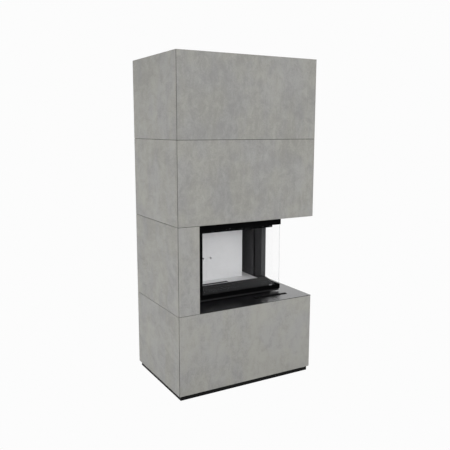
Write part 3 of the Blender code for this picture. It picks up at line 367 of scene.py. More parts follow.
# %% Slabs and the concrete's greys
COOL_DARK = (0.264, 0.263, 0.257)
COOL_LIGHT = (0.353, 0.351, 0.340)
WARM_DARK = (0.275, 0.272, 0.253)
WARM_LIGHT = (0.364, 0.360, 0.333)
CONCRETE_PORE = (0.17, 0.17, 0.165)
SLABS = (
    # node, and how much paler than the others it was cast
    ("base_front_panel", 0.08), ("base_left_panel", 0.02), ("base_right_panel", 0.03),
    ("fire_left_panel", 0.01), ("fire_front_pillar", 0.07), ("fire_front_return", 0.0),
    ("fire_rear_pillar", 0.03), ("fire_rear_return", 0.0), ("hood_front_panel", -0.02),
    ("hood_left_panel", 0.02), ("hood_right_panel", 0.0), ("hood_soffit", 0.0),
    ("top_front_panel", -0.02), ("top_left_panel", 0.0), ("top_right_panel", 0.02), ("top_lid", 0.0),
)
print("concrete slabs:", len(SLABS))

# %% Concrete finish
SLAB_STEP = (3.7, 5.3, 2.9)
WIDER = 0.48
LAYERS = {
    # noise: stretch along x, y and z, then its scale, detail, roughness and distortion
    "clouds": ((1.0, 1.0, 0.55), 3.6, 4.0, 0.55, 0.3),
    "mottles": ((1.0, WIDER, 0.75), 20.0, 7.0, 0.66, 0.6),
    "streaks": ((1.0, WIDER, 0.16), 34.0, 4.0, 0.60, 0.2),
    "grain": ((1.0, WIDER, 0.8), 190.0, 5.0, 0.70, 0.0),
    "warmth": ((1.0, 1.0, 0.5), 8.0, 4.0, 0.5, 0.4),
}


def concrete(name, number, paler):
    """Tone = clouds + mottles + streaks + grain + paler. It picks a grey between dark and light, and
    pores are darker. A second noise moves the grey from cool to warm. All are drawn out in height, so
    they stand upright, and the fine ones in depth too, which makes them wider on the sides."""
    finish = Finish(name, WARM_LIGHT)
    shift = tuple(step * number for step in SLAB_STEP)

    def layer(kind, shift=shift):
        """The noise of one kind, read from this slab's own place."""
        stretch, *noise = LAYERS[kind]
        return finish.noise(finish.place(stretch, shift), *noise)

    clouds, mottles, streaks, grain = (layer(kind) for kind in ("clouds", "mottles", "streaks", "grain"))
    tone = clouds * 0.60 + mottles * 0.85 + streaks * 0.25 + grain * 0.62 + paler
    mask = finish.between(tone, 0.90, 1.42)
    warmth = finish.between(layer("warmth", shift[::-1]), 0.34, 0.62)
    dark = finish.blend(warmth, COOL_DARK, WARM_DARK)
    light = finish.blend(warmth, COOL_LIGHT, WARM_LIGHT)
    plain = finish.place(shift=shift)
    spots = finish.node("ShaderNodeTexVoronoi", {"feature": "F1"}, {"Vector": plain, "Scale": 150.0})
    rare = finish.between(finish.noise(plain, 30.0, 2.0), 0.58, 0.66)
    pores = (1.0 - finish.between(spots, 0.06, 0.13)) * rare
    finish.set(Base_Color=finish.blend(pores, finish.blend(mask, dark, light), CONCRETE_PORE))
    finish.set(Roughness=0.78 + grain * 0.14, Specular_IOR_Level=0.30)
    finish.set(Normal=finish.bump(mottles * 0.4 + grain * 0.5 - pores, 0.0006, 0.5))
    return finish


for number, (slab, paler) in enumerate(SLABS):
    dress(concrete("concrete_" + slab, number, paler), slab)

# %% [markdown]
# ## Painted and plated steel
# The door, the insert and the shelf are painted sheet steel. Paint shows a fine orange peel under
# gloss, and it is a touch duller where it is thick. The insert's body is primed, matt and dusty, the
# frame behind the slabs is zinc plated with its cloudy spangle, and the door's rails are so dull that
# they hardly reflect. The shelf's black enamel is even and half glossy: it mirrors the door and the
# bright room at the right as a soft blur.

# %% Painted steel
def painted(name, colour, roughness, gloss, peel, peel_depth=0.0002, unevenness=1.0):
    """Colour and roughness drift slowly over the sheet, and fine noise dimples the paint, with peel
    dimples in a metre. The unevenness is the share of the usual change in roughness."""
    finish = Finish(name, colour, Specular_IOR_Level=gloss)
    plain = finish.place()
    drift = finish.noise(plain, 6.0, 4.0, 0.6)
    dimples = finish.noise(plain, peel, 2.0, 0.5)
    darker = tuple(channel * 0.72 for channel in colour)
    lighter = tuple(channel * 1.28 for channel in colour)
    finish.set(Base_Color=finish.blend(drift, darker, lighter))
    change = (drift * 0.10 + dimples * 0.06 - 0.08) * unevenness
    finish.set(Roughness=change + roughness)
    finish.set(Normal=finish.bump(dimples, peel_depth, 0.35))
    return finish


door_paint = painted("door_paint", (0.0016, 0.0016, 0.0018), roughness=0.60, gloss=0.02, peel=900.0)
body_paint = painted("body_paint", (0.012, 0.012, 0.013), roughness=0.62, gloss=0.20, peel=500.0)
lip_paint = painted("lip_paint", (0.011, 0.011, 0.012), roughness=0.45, gloss=0.30, peel=700.0)
plinth_paint = painted("plinth_paint", (0.004, 0.004, 0.004), roughness=0.60, gloss=0.08, peel=800.0)
dress(door_paint, "door_bottom_rail", "door_top_rail", "door_left_stile", "door_rear_stile")
dress(door_paint, "fascia_left", "fascia_right", "inner_rail")
dress(body_paint, "firebox_body", "air_tray", "air_duct", "smoke_dome")
dress(body_paint, "insert_stand_left", "insert_stand_right")
dress(lip_paint, "lip")
dress(plinth_paint, "plinth", "air_slider")

# %% Glossy shelf
shelf_enamel = painted(
    "shelf_enamel", (0.008, 0.008, 0.009), roughness=0.34, gloss=0.13, peel=350.0,
    peel_depth=0.00001, unevenness=0.15,
)
dress(shelf_enamel, "shelf_left_plate", "shelf_right_plate")

# %% Zinc plated steel
SPANGLES = 110.0


def plated(name, dark, light, roughness):
    """Zinc spangle: each cell of a Voronoi pattern has its own grey, on a metallic base."""
    finish = Finish(name, light, Metallic=1.0)
    plain = finish.place()
    inputs = {"Vector": plain, "Scale": SPANGLES}
    cells = finish.node("ShaderNodeTexVoronoi", {"feature": "F1"}, inputs, "Color")
    shade = finish.node("ShaderNodeSeparateColor", None, {0: cells})
    cloud = finish.noise(plain, 12.0, 4.0, 0.6)
    finish.set(Base_Color=finish.blend(shade * 0.6 + cloud * 0.4, dark, light))
    finish.set(Roughness=shade * 0.12 + cloud * 0.10 + (roughness - 0.1))
    return finish


zinc = plated("zinc", (0.22, 0.225, 0.23), (0.36, 0.365, 0.37), 0.45)
dress(zinc, "post_front_left", "post_rear_left", "post_rear_right", "shelf_frame", "hood_frame")
dress(zinc, "left_guide", "right_guide")


# %% Turned and brushed steel
def brushed(name, colour, roughness, stretch):
    """Fine lines: noise that is denser along two axes than along the third varies the colour and the
    roughness. With an equal stretch it is an even grain."""
    finish = Finish(name, colour, Metallic=1.0)
    lines = finish.noise(finish.place(stretch), 60.0, 5.0, 0.6)
    darker = tuple(channel * 0.7 for channel in colour)
    finish.set(Base_Color=finish.blend(lines, darker, colour))
    finish.set(Roughness=lines * 0.2 + (roughness - 0.1))
    return finish


grip_steel = brushed("grip_steel", (0.035, 0.035, 0.036), 0.50, (0.3, 20.0, 20.0))
pulley_steel = brushed("pulley_steel", (0.42, 0.42, 0.43), 0.34, (1.0, 1.0, 1.0))
cable_wire = brushed("cable_wire", (0.45, 0.46, 0.47), 0.36, (30.0, 30.0, 30.0))
dress(grip_steel, "door_grip")
dress(pulley_steel, "left_pulley", "right_pulley")

# %% [markdown]
# ## Fire chamber
# The chamber is lined with pressed refractory slabs. Those at the back and on the floor are pale and
# the ones at the sides are nearly black, so that the fire stands out. They are dry and matt, with a
# grain of mica flakes. Some of their colour is painted light: the faces of the dark slabs that look to
# the front are painted paler where the front lamps light them, the floor slab is a paler copy of the
# back slabs, and the slab at the right rear is a lighter copy of the other dark ones. The counterweights
# are raw grey iron castings, and the grate's iron is nearly black, darker than theirs.

# %% Refractory linings
def refractory(name, dark, light, roughness, end=None):
    """Pressed mineral slab: soft clouds, a fine grain and small flakes that lie flat in it. Its face that
    looks to the front can get a paler colour, painted light from the front lamps: 1 where the normal's -y
    is near 1."""
    finish = Finish(name, light, Specular_IOR_Level=0.25)
    plain = finish.place()
    clouds = finish.noise(plain, 9.0, 5.0, 0.6)
    grain = finish.noise(plain, 420.0, 4.0, 0.7)
    flakes = finish.node("ShaderNodeTexVoronoi", {"feature": "F1"}, {"Vector": plain, "Scale": 240.0})
    tone = clouds * 0.6 + grain * 0.4 + flakes * 0.25
    skin = finish.blend(finish.between(tone, 0.30, 0.85), dark, light)
    # Painted light: the face that looks to the front gets the paler end colour.
    if end:
        normal = finish.node("ShaderNodeTexCoord", output="Normal")
        ahead = finish.node("ShaderNodeSeparateXYZ", None, {0: normal}, output=1)
        skin = finish.blend(finish.between(ahead * -1.0, 0.7, 0.9), skin, end)
    finish.set(Base_Color=skin)
    finish.set(Roughness=grain * 0.1 + (roughness - 0.05))
    finish.set(Normal=finish.bump(grain + flakes * 0.5, 0.0004, 0.5))
    return finish


# Painted light: a paler colour for the dark slabs' faces that look to the front, where the front lamps
# light them.
PAINTED_FRONT_LIGHT = (0.072, 0.072, 0.076)
pale_slab = refractory("pale_refractory", (0.80, 0.803, 0.815), (0.89, 0.893, 0.905), 0.9)
# Painted light: the floor slab is a paler copy of the back slabs' refractory.
floor_slab = refractory("floor_refractory_painted_light", (0.86, 0.86, 0.865), (0.94, 0.94, 0.945), 0.9)
dark_slab = refractory("dark_refractory", (0.036, 0.036, 0.038), (0.054, 0.054, 0.057), 0.85, PAINTED_FRONT_LIGHT)
# Painted light: the right rear lining is a lighter copy of the dark refractory.
rear_slab_painted_light = refractory("rear_refractory_painted_light", (0.072, 0.072, 0.076), (0.100, 0.100, 0.106), 0.85)
dress(pale_slab, "back_slab_left", "back_slab_right", "baffle")
dress(floor_slab, "floor_slab")
dress(dark_slab, "left_lining", "right_post_lining")
dress(rear_slab_painted_light, "right_rear_lining")


# %% Raw iron castings
def cast(name, dark, light):
    """Sand casting: a rough skin with bumps of a millimetre, and worn where noise is high."""
    finish = Finish(name, dark, Specular_IOR_Level=0.4, Metallic=0.4)
    plain = finish.place()
    skin = finish.noise(plain, 320.0, 6.0, 0.65)
    worn = finish.between(finish.noise(plain, 18.0, 5.0, 0.6), 0.42, 0.7)
    finish.set(Base_Color=finish.blend(worn * 0.6 + skin * 0.3, dark, light))
    finish.set(Roughness=skin * 0.25 + 0.5)
    finish.set(Normal=finish.bump(skin, 0.0008, 0.6))
    return finish


iron = cast("raw_iron", (0.018, 0.018, 0.018), (0.045, 0.044, 0.043))
# The grate's iron is nearly black, darker than the counterweights' iron.
grate_iron = cast("grate_iron", (0.005, 0.005, 0.005), (0.012, 0.012, 0.012))
dress(iron, "left_counterweight", "right_counterweight")
dress(grate_iron, "grate")

# %% [markdown]
# ## Glass
# The panes are clear glass ceramic, 4 mm thick. Seen straight on, a pane hides nothing and mirrors a
# few hundredths of the light. Its cut edges look grey-green, because the eye looks along the glass. A
# pane that refracts would shade the chamber, so this one is a faint mirror whose Alpha is its
# reflectance, and the edge faces, found by their normal, are denser.

# %% Clear panes with dense edges
FACE_TINT = (0.85, 0.88, 0.87)
EDGE_TINT = (0.35, 0.40, 0.39)
EDGE_ALPHA = 0.25
MIRROR_IOR = 1.10


def pane(name, axis):
    """Alpha = reflectance by angle on the faces and a fixed share on the edges. The axis is that of
    the object-space normal that the pane faces; the edges are where it is near zero."""
    finish = Finish(name, FACE_TINT, Metallic=1.0, Roughness=0.0)
    normal = finish.node("ShaderNodeTexCoord", output="Normal")
    across = finish.node("ShaderNodeSeparateXYZ", None, {0: normal}, output=axis)
    size = finish.node("ShaderNodeMath", {"operation": "ABSOLUTE"}, {0: across})
    facing = finish.between(size, 0.4, 0.6)
    mirror = finish.node("ShaderNodeFresnel", None, {"IOR": MIRROR_IOR})
    finish.set(Alpha=mirror * facing + (1.0 - facing) * EDGE_ALPHA)
    finish.set(Base_Color=finish.blend(facing, EDGE_TINT, FACE_TINT))
    return finish


dress(pane("front_pane", 1), "front_glass")
dress(pane("side_pane", 0), "side_glass")

# %% [markdown]
# ## Shapes from arrays
# The small pieces that follow are surfaces on a grid: rows of points, each joined to the next. A bolt
# or a bead is a profile turned round an axis, and a seal or a weld is a section carried along a path.
# Blender could turn and sweep them with modifiers, but a formula on whole arrays says exactly where
# each point lies, in the same metres as the packed part.


# %% Faces of a grid
def grid_faces(rows, columns, ring):
    """Each cell joins a point to its right neighbour and to the two above. Columns wrap round, and
    rows do where the rows are a ring."""
    index = np.arange(rows * columns).reshape(rows, columns)
    index = np.hstack((index, index[:, :1]))
    if ring:
        index = np.vstack((index, index[:1]))
    corners = (index[:-1, :-1], index[:-1, 1:], index[1:, 1:], index[1:, :-1])
    return np.stack(corners, axis=-1).reshape(-1, 4)


print("2 rows of 6 points have", len(grid_faces(2, 6, ring=False)), "faces")


def add_piece(name, grids, finish, body=None, ring=False, smooth=True):
    """One object from grids of points of the same shape, (copies, rows, columns, 3). Its place is in
    its mesh, poles are merged, and its faces are turned outwards. It rides on the body, if one is
    given."""
    grids = np.asarray(grids)
    copies, rows, columns = grids.shape[:3]
    faces = grid_faces(rows, columns, ring)
    every = (faces[None] + (np.arange(copies) * rows * columns)[:, None, None]).reshape(-1, 4)
    mesh = bpy.data.meshes.new(name)
    mesh.from_pydata(grids.reshape(-1, 3).tolist(), [], every.tolist())
    shape = bmesh.new()
    shape.from_mesh(mesh)
    bmesh.ops.remove_doubles(shape, verts=shape.verts, dist=1e-6)
    bmesh.ops.recalc_face_normals(shape, faces=shape.faces)
    shape.to_mesh(mesh)
    shape.free()
    mesh.polygons.foreach_set("use_smooth", np.full(len(mesh.polygons), smooth))
    mesh.materials.append(finish.material)
    made = bpy.data.objects.new(name, mesh)
    bpy.context.scene.collection.objects.link(made)
    if body:
        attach(made, body)
    print(name, "on", body or "no single body", "with", len(mesh.polygons), "faces")
    return made


# %% Turned profiles
UP = np.array((0.0, 0.0, 1.0))
TURN = 2.0 * math.pi


def side_axes(axis):
    """Two directions square to an axis and to each other."""
    axis = np.asarray(axis, float)
    helper = UP if abs(axis[2]) < 0.9 else np.array((1.0, 0.0, 0.0))
    first = np.cross(helper, axis)
    first /= np.linalg.norm(first)
    return first, np.cross(axis, first)


def turned(profile, centres, axis, steps, sides=0):
    """Point = centre + height * axis + radius * (cos * first + sin * second). With sides, the radius
    is divided by the cosine of the angle from the nearest flat's middle, which makes a polygon."""
    profile = np.asarray(profile, float)
    centres = np.asarray(centres, float).reshape(-1, 1, 1, 3)
    first, second = side_axes(axis)
    angle = TURN * np.arange(steps) / steps
    shape = np.ones(steps)
    if sides:
        part = TURN / sides
        shape = 1.0 / np.cos((angle + part / 2) % part - part / 2)
    circle = (np.cos(angle) * shape)[:, None] * first + (np.sin(angle) * shape)[:, None] * second
    radius, height = (column[:, None, None] for column in profile.T)
    return centres + (radius * circle + height * np.asarray(axis, float))[None]


hexagon = turned(((1.0, 0.0),), ((0.0, 0.0, 0.0),), UP, 12, 6)
print("a hexagon's first point is at", rounded(hexagon[0, 0, 0]))


# %% Carried sections
def carried(path, section, normal=UP, ring=False):
    """The section's first number goes across the path and its second along the normal. At a corner the
    across direction is lengthened by 1 / cos of half the turn, which makes a mitre. An open path is
    closed by shrinking the section to a point at both ends."""
    path = np.asarray(path, float)
    ahead = np.roll(path, -1, axis=0) - path
    if not ring:
        ahead[-1] = ahead[-2]
    ahead /= np.linalg.norm(ahead, axis=1)[:, None]
    behind = np.roll(ahead, 1, axis=0)
    if not ring:
        behind[0] = ahead[0]
    along = ahead + behind
    along /= np.linalg.norm(along, axis=1)[:, None]
    stretch = 1.0 / np.sqrt((1.0 + (ahead * behind).sum(axis=1)) / 2.0)
    across = np.cross(along, normal) * stretch[:, None]
    section = np.asarray(section, float)
    if section.ndim == 2:
        section = np.broadcast_to(section, (len(path), *section.shape))
    rows = path[:, None] + section[..., :1] * across[:, None] + section[..., 1:] * np.asarray(normal, float)
    if not ring:
        middle = rows.mean(axis=1, keepdims=True)
        ends = np.broadcast_to(middle[[0, -1]], (2, *rows.shape[1:]))
        rows = np.concatenate((ends[:1], rows, ends[1:]))
    return rows[None]


def bar(width, height):
    """A rectangular section: each corner is half the width and half the height away from the path."""
    return np.array(((-1, -1), (1, -1), (1, 1), (-1, 1))) * (width / 2, height / 2)


def round_bar(radius, steps=12):
    """A round section: radius * (cos, sin) at even angles."""
    angle = TURN * np.arange(steps) / steps
    return radius * np.stack((np.cos(angle), np.sin(angle)), axis=-1)


mitred = carried(((0, 0, 0), (1, 0, 0), (1, 1, 0)), bar(0.2, 0.2))
print("a mitred bar's outer corner is at", rounded(mitred[0, 2, 1]))

# %% [markdown]
# ## Joints between the slabs
# The slabs don't touch at their faces: each stands on a rebate, and the open joint in front of it is
# 2.5 mm wide. A black strip lies in each joint as painted shade: it darkens the joints into the fine
# dark lines that the shade in them makes. The strip is a rectangle carried along the joint, 3 mm behind
# the faces. The packed part's boxes say where the joints are. A thinner strip stands in each mitred
# corner, turned by 45 degrees.

# %% Strips of painted shade
# Painted shade: these black strips stand for the shade inside the open joints.
joint_shade = painted("joint_painted_shade", (0.012, 0.012, 0.012), roughness=0.9, gloss=0.1, peel=600.0)
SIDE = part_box("top_left_panel")[0][0]
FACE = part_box("top_front_panel")[0][1]
OPEN_JOINT = 0.0025
STRIP_DEPTH = 0.0054
STRIP = bar(0.0046, 0.0023)
STRIP_SETBACK = 0.001
LEFT, RIGHT, FRONT = SIDE + STRIP_DEPTH, -SIDE - STRIP_DEPTH, FACE + STRIP_DEPTH
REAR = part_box("top_left_panel")[1][1] - STRIP_SETBACK
JOINTS = [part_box(f"{row}_left_panel")[1][2] + OPEN_JOINT / 2 for row in ("base", "fire", "hood")]


def left_path(height, front_end):
    """From the rear of the left face round the corner to a place on the front face."""
    return ((LEFT, REAR, height), (LEFT, FRONT, height), (front_end, FRONT, height))


def shade_strip(name, path):
    """A strip along a joint between two rows."""
    return add_piece(name, carried(path, STRIP), joint_shade, "kit", smooth=False)


PILLAR_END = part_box("fire_front_pillar")[1][0] - STRIP_SETBACK
PILLAR_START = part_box("fire_rear_pillar")[0][1] + STRIP_SETBACK
for number, height in enumerate(JOINTS[:2]):
    shade_strip(f"joint_strip_left_{number}", left_path(height, PILLAR_END))
    shade_strip(f"joint_strip_right_{number}", ((RIGHT, PILLAR_START, height), (RIGHT, REAR, height)))
shade_strip("joint_strip_hood", (*left_path(JOINTS[2], RIGHT), (RIGHT, REAR, JOINTS[2])))
print("joints at heights", rounded(JOINTS))

# %% Corner strips
CORNER_INSET = 0.0040
CORNER_STRIP = bar(0.0024, 0.0050)
CORNER_LOW, CORNER_HIGH = 0.031, 2.028
OPENING_LOW, OPENING_HIGH = 0.5200, 1.0515


def corner_strip(name, sign, low, high):
    """An upright bar on the mitre's diagonal, turned by 45 degrees."""
    x, y = sign * (-SIDE - CORNER_INSET), FACE + CORNER_INSET
    inward = np.array((-sign, 1.0, 0.0)) / math.sqrt(2.0)
    path = ((x, y, low), (x, y, high))
    add_piece(name, carried(path, CORNER_STRIP, inward), joint_shade, "kit", smooth=False)


# Painted shade: the black corner strips stand for the shade in the mitred corners.
corner_strip("corner_strip_left", -1, CORNER_LOW, CORNER_HIGH)
corner_strip("corner_strip_right_base", 1, CORNER_LOW, OPENING_LOW)
corner_strip("corner_strip_right_hood", 1, OPENING_HIGH, CORNER_HIGH)

# %% [markdown]
# ## Slot of the air slider
# The lever for the air moves in a slot in the shelf. A low black frame round the slot hides its cut
# edges. Seen from the side it is the thin dark line on the bright shelf: partly the real shade inside
# the frame, partly painted shade in its matt black. It is a small bar carried round a rectangle that
# the lever's knob fits into.

# %% Slot frame
# Painted shade: the frame's matt black stands for the shade of the slot.
slot_painted_shade = painted("slot_painted_shade", (0.004, 0.004, 0.004), roughness=0.6, gloss=0.05, peel=900.0)
SHELF_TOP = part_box("shelf_right_plate")[1][2]
SLOT_LEFT, SLOT_RIGHT = 0.1133, 0.3597
SLOT_FRONT, SLOT_REAR = -0.2197, -0.1993
SLOT_FRAME_BAR = bar(0.0024, 0.0022)
SLOT_FRAME_LIFT = 0.0012


def slot_frame():
    """A bar round the four corners of the frame's middle line, a little above the shelf."""
    height = SHELF_TOP + SLOT_FRAME_LIFT
    front = ((SLOT_LEFT, SLOT_FRONT, height), (SLOT_RIGHT, SLOT_FRONT, height))
    rear = ((SLOT_RIGHT, SLOT_REAR, height), (SLOT_LEFT, SLOT_REAR, height))
    grid = carried(front + rear, SLOT_FRAME_BAR, ring=True)
    return add_piece("slot_frame", grid, slot_painted_shade, "kit", ring=True, smooth=False)


slot_frame()

# %% [markdown] ## Lifting gear A cable runs from each end of the door over a pulley to a counterweight.
# The half turn that lies in the pulley's groove keeps its shape. Sleeves are crimped on the cable's
# ends, and a bolt holds each axle.

# %% Half turns of cable
CABLE_RADIUS = 0.0015
PULLEY_PITCH = 0.055


def middle(node):
    """The middle of a packed node's box."""
    return np.array(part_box(node), float).mean(axis=0)


def half_turn(centre, along):
    """Centre + pitch radius * (cos * along + sin * up), from the door's side over the top."""
    angle = np.linspace(0.0, math.pi, 49)[:, None]
    return centre + PULLEY_PITCH * (np.cos(angle) * np.asarray(along, float) + np.sin(angle) * UP)


LEFT_CENTRE = middle("left_pulley")
RIGHT_CENTRE = middle("right_pulley")
PULLEY_HEIGHT = LEFT_CENTRE[2]
for side, centre, along, axis in (
    ("left", LEFT_CENTRE, (1, 0, 0), (0, 1, 0)),
    ("right", RIGHT_CENTRE, (0, -1, 0), (1, 0, 0)),
):
    shape = carried(half_turn(centre, along), round_bar(CABLE_RADIUS), axis)
    add_piece(f"{side}_cable_turn", shape, cable_wire, "kit")


# %% Straight runs of cable
def low_end(node):
    """The lower end of a packed cable, on its middle line."""
    x, y, _ = middle(node)
    return (x, y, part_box(node)[0][2])


def cable_run(node):
    """A round bar from the pulley's height down to the end of the packed cable, whose place it takes."""
    x, y, low = low_end(node)
    start, end = (x, y, PULLEY_HEIGHT), (x, y, low)
    made = add_piece(node + "_run", carried((start, end), round_bar(CABLE_RADIUS), (0, 1, 0)), cable_wire)
    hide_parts(node)
    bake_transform(made)
    return PULLEY_HEIGHT - low


for side in ("left", "right"):
    door_run = cable_run(f"{side}_door_cable")
    weight_run = cable_run(f"{side}_weight_cable")
    print(side, "cable at rest:", round(door_run + math.pi * PULLEY_PITCH + weight_run, 3), "m")

# %% Crimped sleeves
copper = brushed("sleeve_copper", (0.40, 0.26, 0.18), 0.40, (8.0, 8.0, 60.0))
SLEEVE = (
    # radius and height of each point of the profile
    (0.0, 0.0), (0.0020, 0.0), (0.0026, 0.0006), (0.0026, 0.005), (0.0022, 0.006), (0.0022, 0.008),
    (0.0026, 0.009), (0.0026, 0.0134), (0.0020, 0.014), (0.0, 0.014),
)
for end in ("door", "weight"):
    for side in ("left", "right"):
        body = "door" if end == "door" else f"{side}_weight"
        grid = turned(SLEEVE, (low_end(f"{side}_{end}_cable"),), UP, 20)
        add_piece(f"{side}_{end}_sleeve", grid, copper, body)


# %% Axle bolts
def bolt_profile(across, height):
    """A head with a chamfered top: half its width across flats, then its height."""
    flat = across / 2
    return ((0.0, 0.0), (flat, 0.0), (flat, height * 0.82), (flat * 0.88, height), (0.0, height))


def bolts(name, places, axis, across, height, finish, body="kit"):
    """The same hexagonal head at each place, standing along the axis."""
    grids = turned(bolt_profile(across, height), places, axis, 24, 6)
    return add_piece(name, grids, finish, body, smooth=False)


# Half the way between the outer faces of the two cheeks that hold a pulley, and 0.1 mm more.
AXLE_REACH = 0.00695
AXLE_FLATS = 0.013
HEAD, NUT = 0.005, 0.006
for side, centre, outwards in (("left", LEFT_CENTRE, (0, -1, 0)), ("right", RIGHT_CENTRE, (1, 0, 0))):
    outwards = np.array(outwards, float)
    bolts(f"{side}_axle_head", (centre + AXLE_REACH * outwards,), outwards, AXLE_FLATS, HEAD, zinc)
    bolts(f"{side}_axle_nut", (centre - AXLE_REACH * outwards,), -outwards, AXLE_FLATS, NUT, zinc)

# %% [markdown]
# ## Fixings of the door
# Spring clips on the bottom rail press the panes into it, and one of them shows as a small light spot
# in the photograph. Between pane and rail lies a woven rope that keeps the smoke in. Under the grip
# runs a thin black strip of painted shade, for the shade in the gap above the shelf. The clip is a
# folded strip whose section is carried for its width, the rope is a round bar with a twist in its
# bump, and the strip under the grip is a small wedge.

# %% Pane clips
clip_steel = brushed("clip_steel", (0.24, 0.24, 0.25), 0.45, (30.0, 4.0, 4.0))
RAIL_LOW, RAIL_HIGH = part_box("door_bottom_rail")
RAIL_TOP = RAIL_HIGH[2]
CLIP_INSET = 0.0013
FRONT_CLIP_X = 0.2750
SIDE_CLIP_Y = 0.0950
CLIP_HEIGHT = 0.0065
CLIP_WIDTH = 0.022
CLIP_SECTION = ((-0.0004, 0.0003), (0.0016, 0.0003), (0.0012, CLIP_HEIGHT), (0.0002, CLIP_HEIGHT + 0.0006))


def clip(name, start, direction):
    """A clip's section carried for its width along the lower edge."""
    start = np.array(start, float)
    path = np.stack((start, start + CLIP_WIDTH * np.array(direction, float)))
    return add_piece(name, carried(path, CLIP_SECTION), clip_steel, "door", smooth=False)


clip("front_pane_clip", (FRONT_CLIP_X, RAIL_LOW[1] + CLIP_INSET, RAIL_TOP), (1, 0, 0))
clip("side_pane_clip", (RAIL_HIGH[0] - CLIP_INSET, SIDE_CLIP_Y, RAIL_TOP), (0, 1, 0))


# %% Sealing ropes
def rope(name, colour):
    """Woven glass rope: a wave along a slanted direction is the bump of its strands."""
    finish = Finish(name, colour, Specular_IOR_Level=0.1, Roughness=0.95)
    inputs = {"Vector": finish.place((1.0, 1.0, 0.7)), "Scale": 260.0}
    strands = finish.node("ShaderNodeTexWave", None, inputs)
    fuzz = finish.noise(finish.place(), 1500.0, 2.0)
    darker = tuple(channel * 0.5 for channel in colour)
    finish.set(Base_Color=finish.blend(strands * 0.6 + fuzz * 0.4, darker, colour))
    finish.set(Normal=finish.bump(strands + fuzz * 0.4, 0.0005, 0.6))
    return finish


pane_rope = rope("pane_rope", (0.012, 0.012, 0.012))
ROPE_RADIUS = 0.0011
ROPE_SETBACK = 0.003
INNER_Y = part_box("front_glass")[1][1] + ROPE_RADIUS
INNER_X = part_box("side_glass")[0][0] - ROPE_RADIUS
ROPE_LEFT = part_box("front_glass")[0][0] + ROPE_SETBACK
ROPE_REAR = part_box("side_glass")[1][1] - ROPE_SETBACK
TOP_RAIL_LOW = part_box("door_top_rail")[0][2]
for name, height in (("rope_low", RAIL_TOP + ROPE_RADIUS), ("rope_high", TOP_RAIL_LOW - ROPE_RADIUS)):
    corners = ((ROPE_LEFT, INNER_Y, height), (INNER_X, INNER_Y, height), (INNER_X, ROPE_REAR, height))
    add_piece(name, carried(corners, round_bar(ROPE_RADIUS)), pane_rope, "door")

# %% Strip of painted shade under the grip
# Painted shade: the black strip under the grip stands for the shade in the gap above the shelf.
grip_shade = painted("grip_painted_shade", (0.003, 0.003, 0.003), roughness=0.8, gloss=0.05, peel=900.0)
GRIP_LOW, GRIP_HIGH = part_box("door_grip")
GRIP_SHADE_HEIGHT = 0.0024
GRIP_SHADE_INSET = 0.0017
GRIP_SHADE_SETBACK = 0.002
GRIP_SHADE_SECTION = np.array(((-0.0015, -GRIP_SHADE_HEIGHT), (0.0005, -GRIP_SHADE_HEIGHT), (0.0015, 0.0004), (-0.0015, 0.0004)))


def grip_shade_path():
    """From the grip's left end round the corner to its rear end, on its underside."""
    x, y, z = GRIP_HIGH[0] - GRIP_SHADE_INSET, GRIP_LOW[1] + GRIP_SHADE_INSET, GRIP_LOW[2]
    return ((GRIP_LOW[0] + GRIP_SHADE_SETBACK, y, z), (x, y, z), (x, GRIP_HIGH[1] - GRIP_SHADE_SETBACK, z))


add_piece("door_grip_shade", carried(grip_shade_path(), GRIP_SHADE_SECTION), grip_shade, "door", smooth=False)
print("sealing lip down to", round(GRIP_LOW[2] - GRIP_SHADE_HEIGHT, 4), "m")

# %% [markdown]
# ## Fixings and welds of the insert
# The dome is bolted to the firebox through its flange. Its collar has a weld round its foot and a rolled
# bead at its mouth. Short welds hold the firebox's top plate, and bolts hold the stands to the floor. A
# weld is a tube whose radius swells and shrinks, because it is laid drop by drop.

# %% Dome and collar
weld_steel = painted("weld_steel", (0.030, 0.029, 0.028), roughness=0.45, gloss=0.5, peel=700.0)
DOME_LOW, DOME_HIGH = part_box("smoke_dome")
COLLAR_CENTRE = middle("smoke_dome") * (1.0, 1.0, 0.0)
COLLAR_RADIUS = 0.090
COLLAR_LENGTH = 0.080
COLLAR_WELD = 0.0022
WELD_STANDOFF = 0.0003
BEAD = 0.0026
BEAD_INSET = 0.0015
DROP = 0.004
DROP_POINTS = 4


def circle_path(radius, height, count):
    """A level circle round the collar's axis: centre + radius * (cos, sin), at one height."""
    angle = TURN * np.arange(count) / count
    x, y = radius * np.cos(angle), radius * np.sin(angle)
    return COLLAR_CENTRE + np.stack((x, y, np.full(count, height)), axis=-1)


def drops(count, radius):
    """One section for each point: radius * (1 + 0.16 * cos), with one wave of the cosine in a drop."""
    swell = 1.0 + 0.16 * np.cos(TURN * np.arange(count) / DROP_POINTS)
    return round_bar(radius, 8)[None] * swell[:, None, None]


SEAM = DROP_POINTS * round(TURN * COLLAR_RADIUS / DROP)
seam_path = circle_path(COLLAR_RADIUS + WELD_STANDOFF, DOME_HIGH[2] - COLLAR_LENGTH, SEAM)
collar_weld = carried(seam_path, drops(SEAM, COLLAR_WELD), ring=True)
add_piece("collar_weld", collar_weld, weld_steel, "kit", ring=True)
bead_path = circle_path(COLLAR_RADIUS - BEAD_INSET, DOME_HIGH[2], 96)
add_piece("collar_bead", carried(bead_path, round_bar(BEAD), ring=True), body_paint, "kit", ring=True)

# %% Bolts of dome and stands
FLANGE = 0.003
FLANGE_INSET = 0.009
STAND_SHEET = 0.005
STAND_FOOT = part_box("insert_stand_left")[0][2] + STAND_SHEET
STAND_BOLTS_X = (-0.3185, 0.3165)
STAND_BOLTS_Y = (-0.030, 0.215)
# Each is the width across flats and the height of the head.
DOME_BOLT = (0.010, 0.0045)
STAND_BOLT = (0.017, 0.0075)


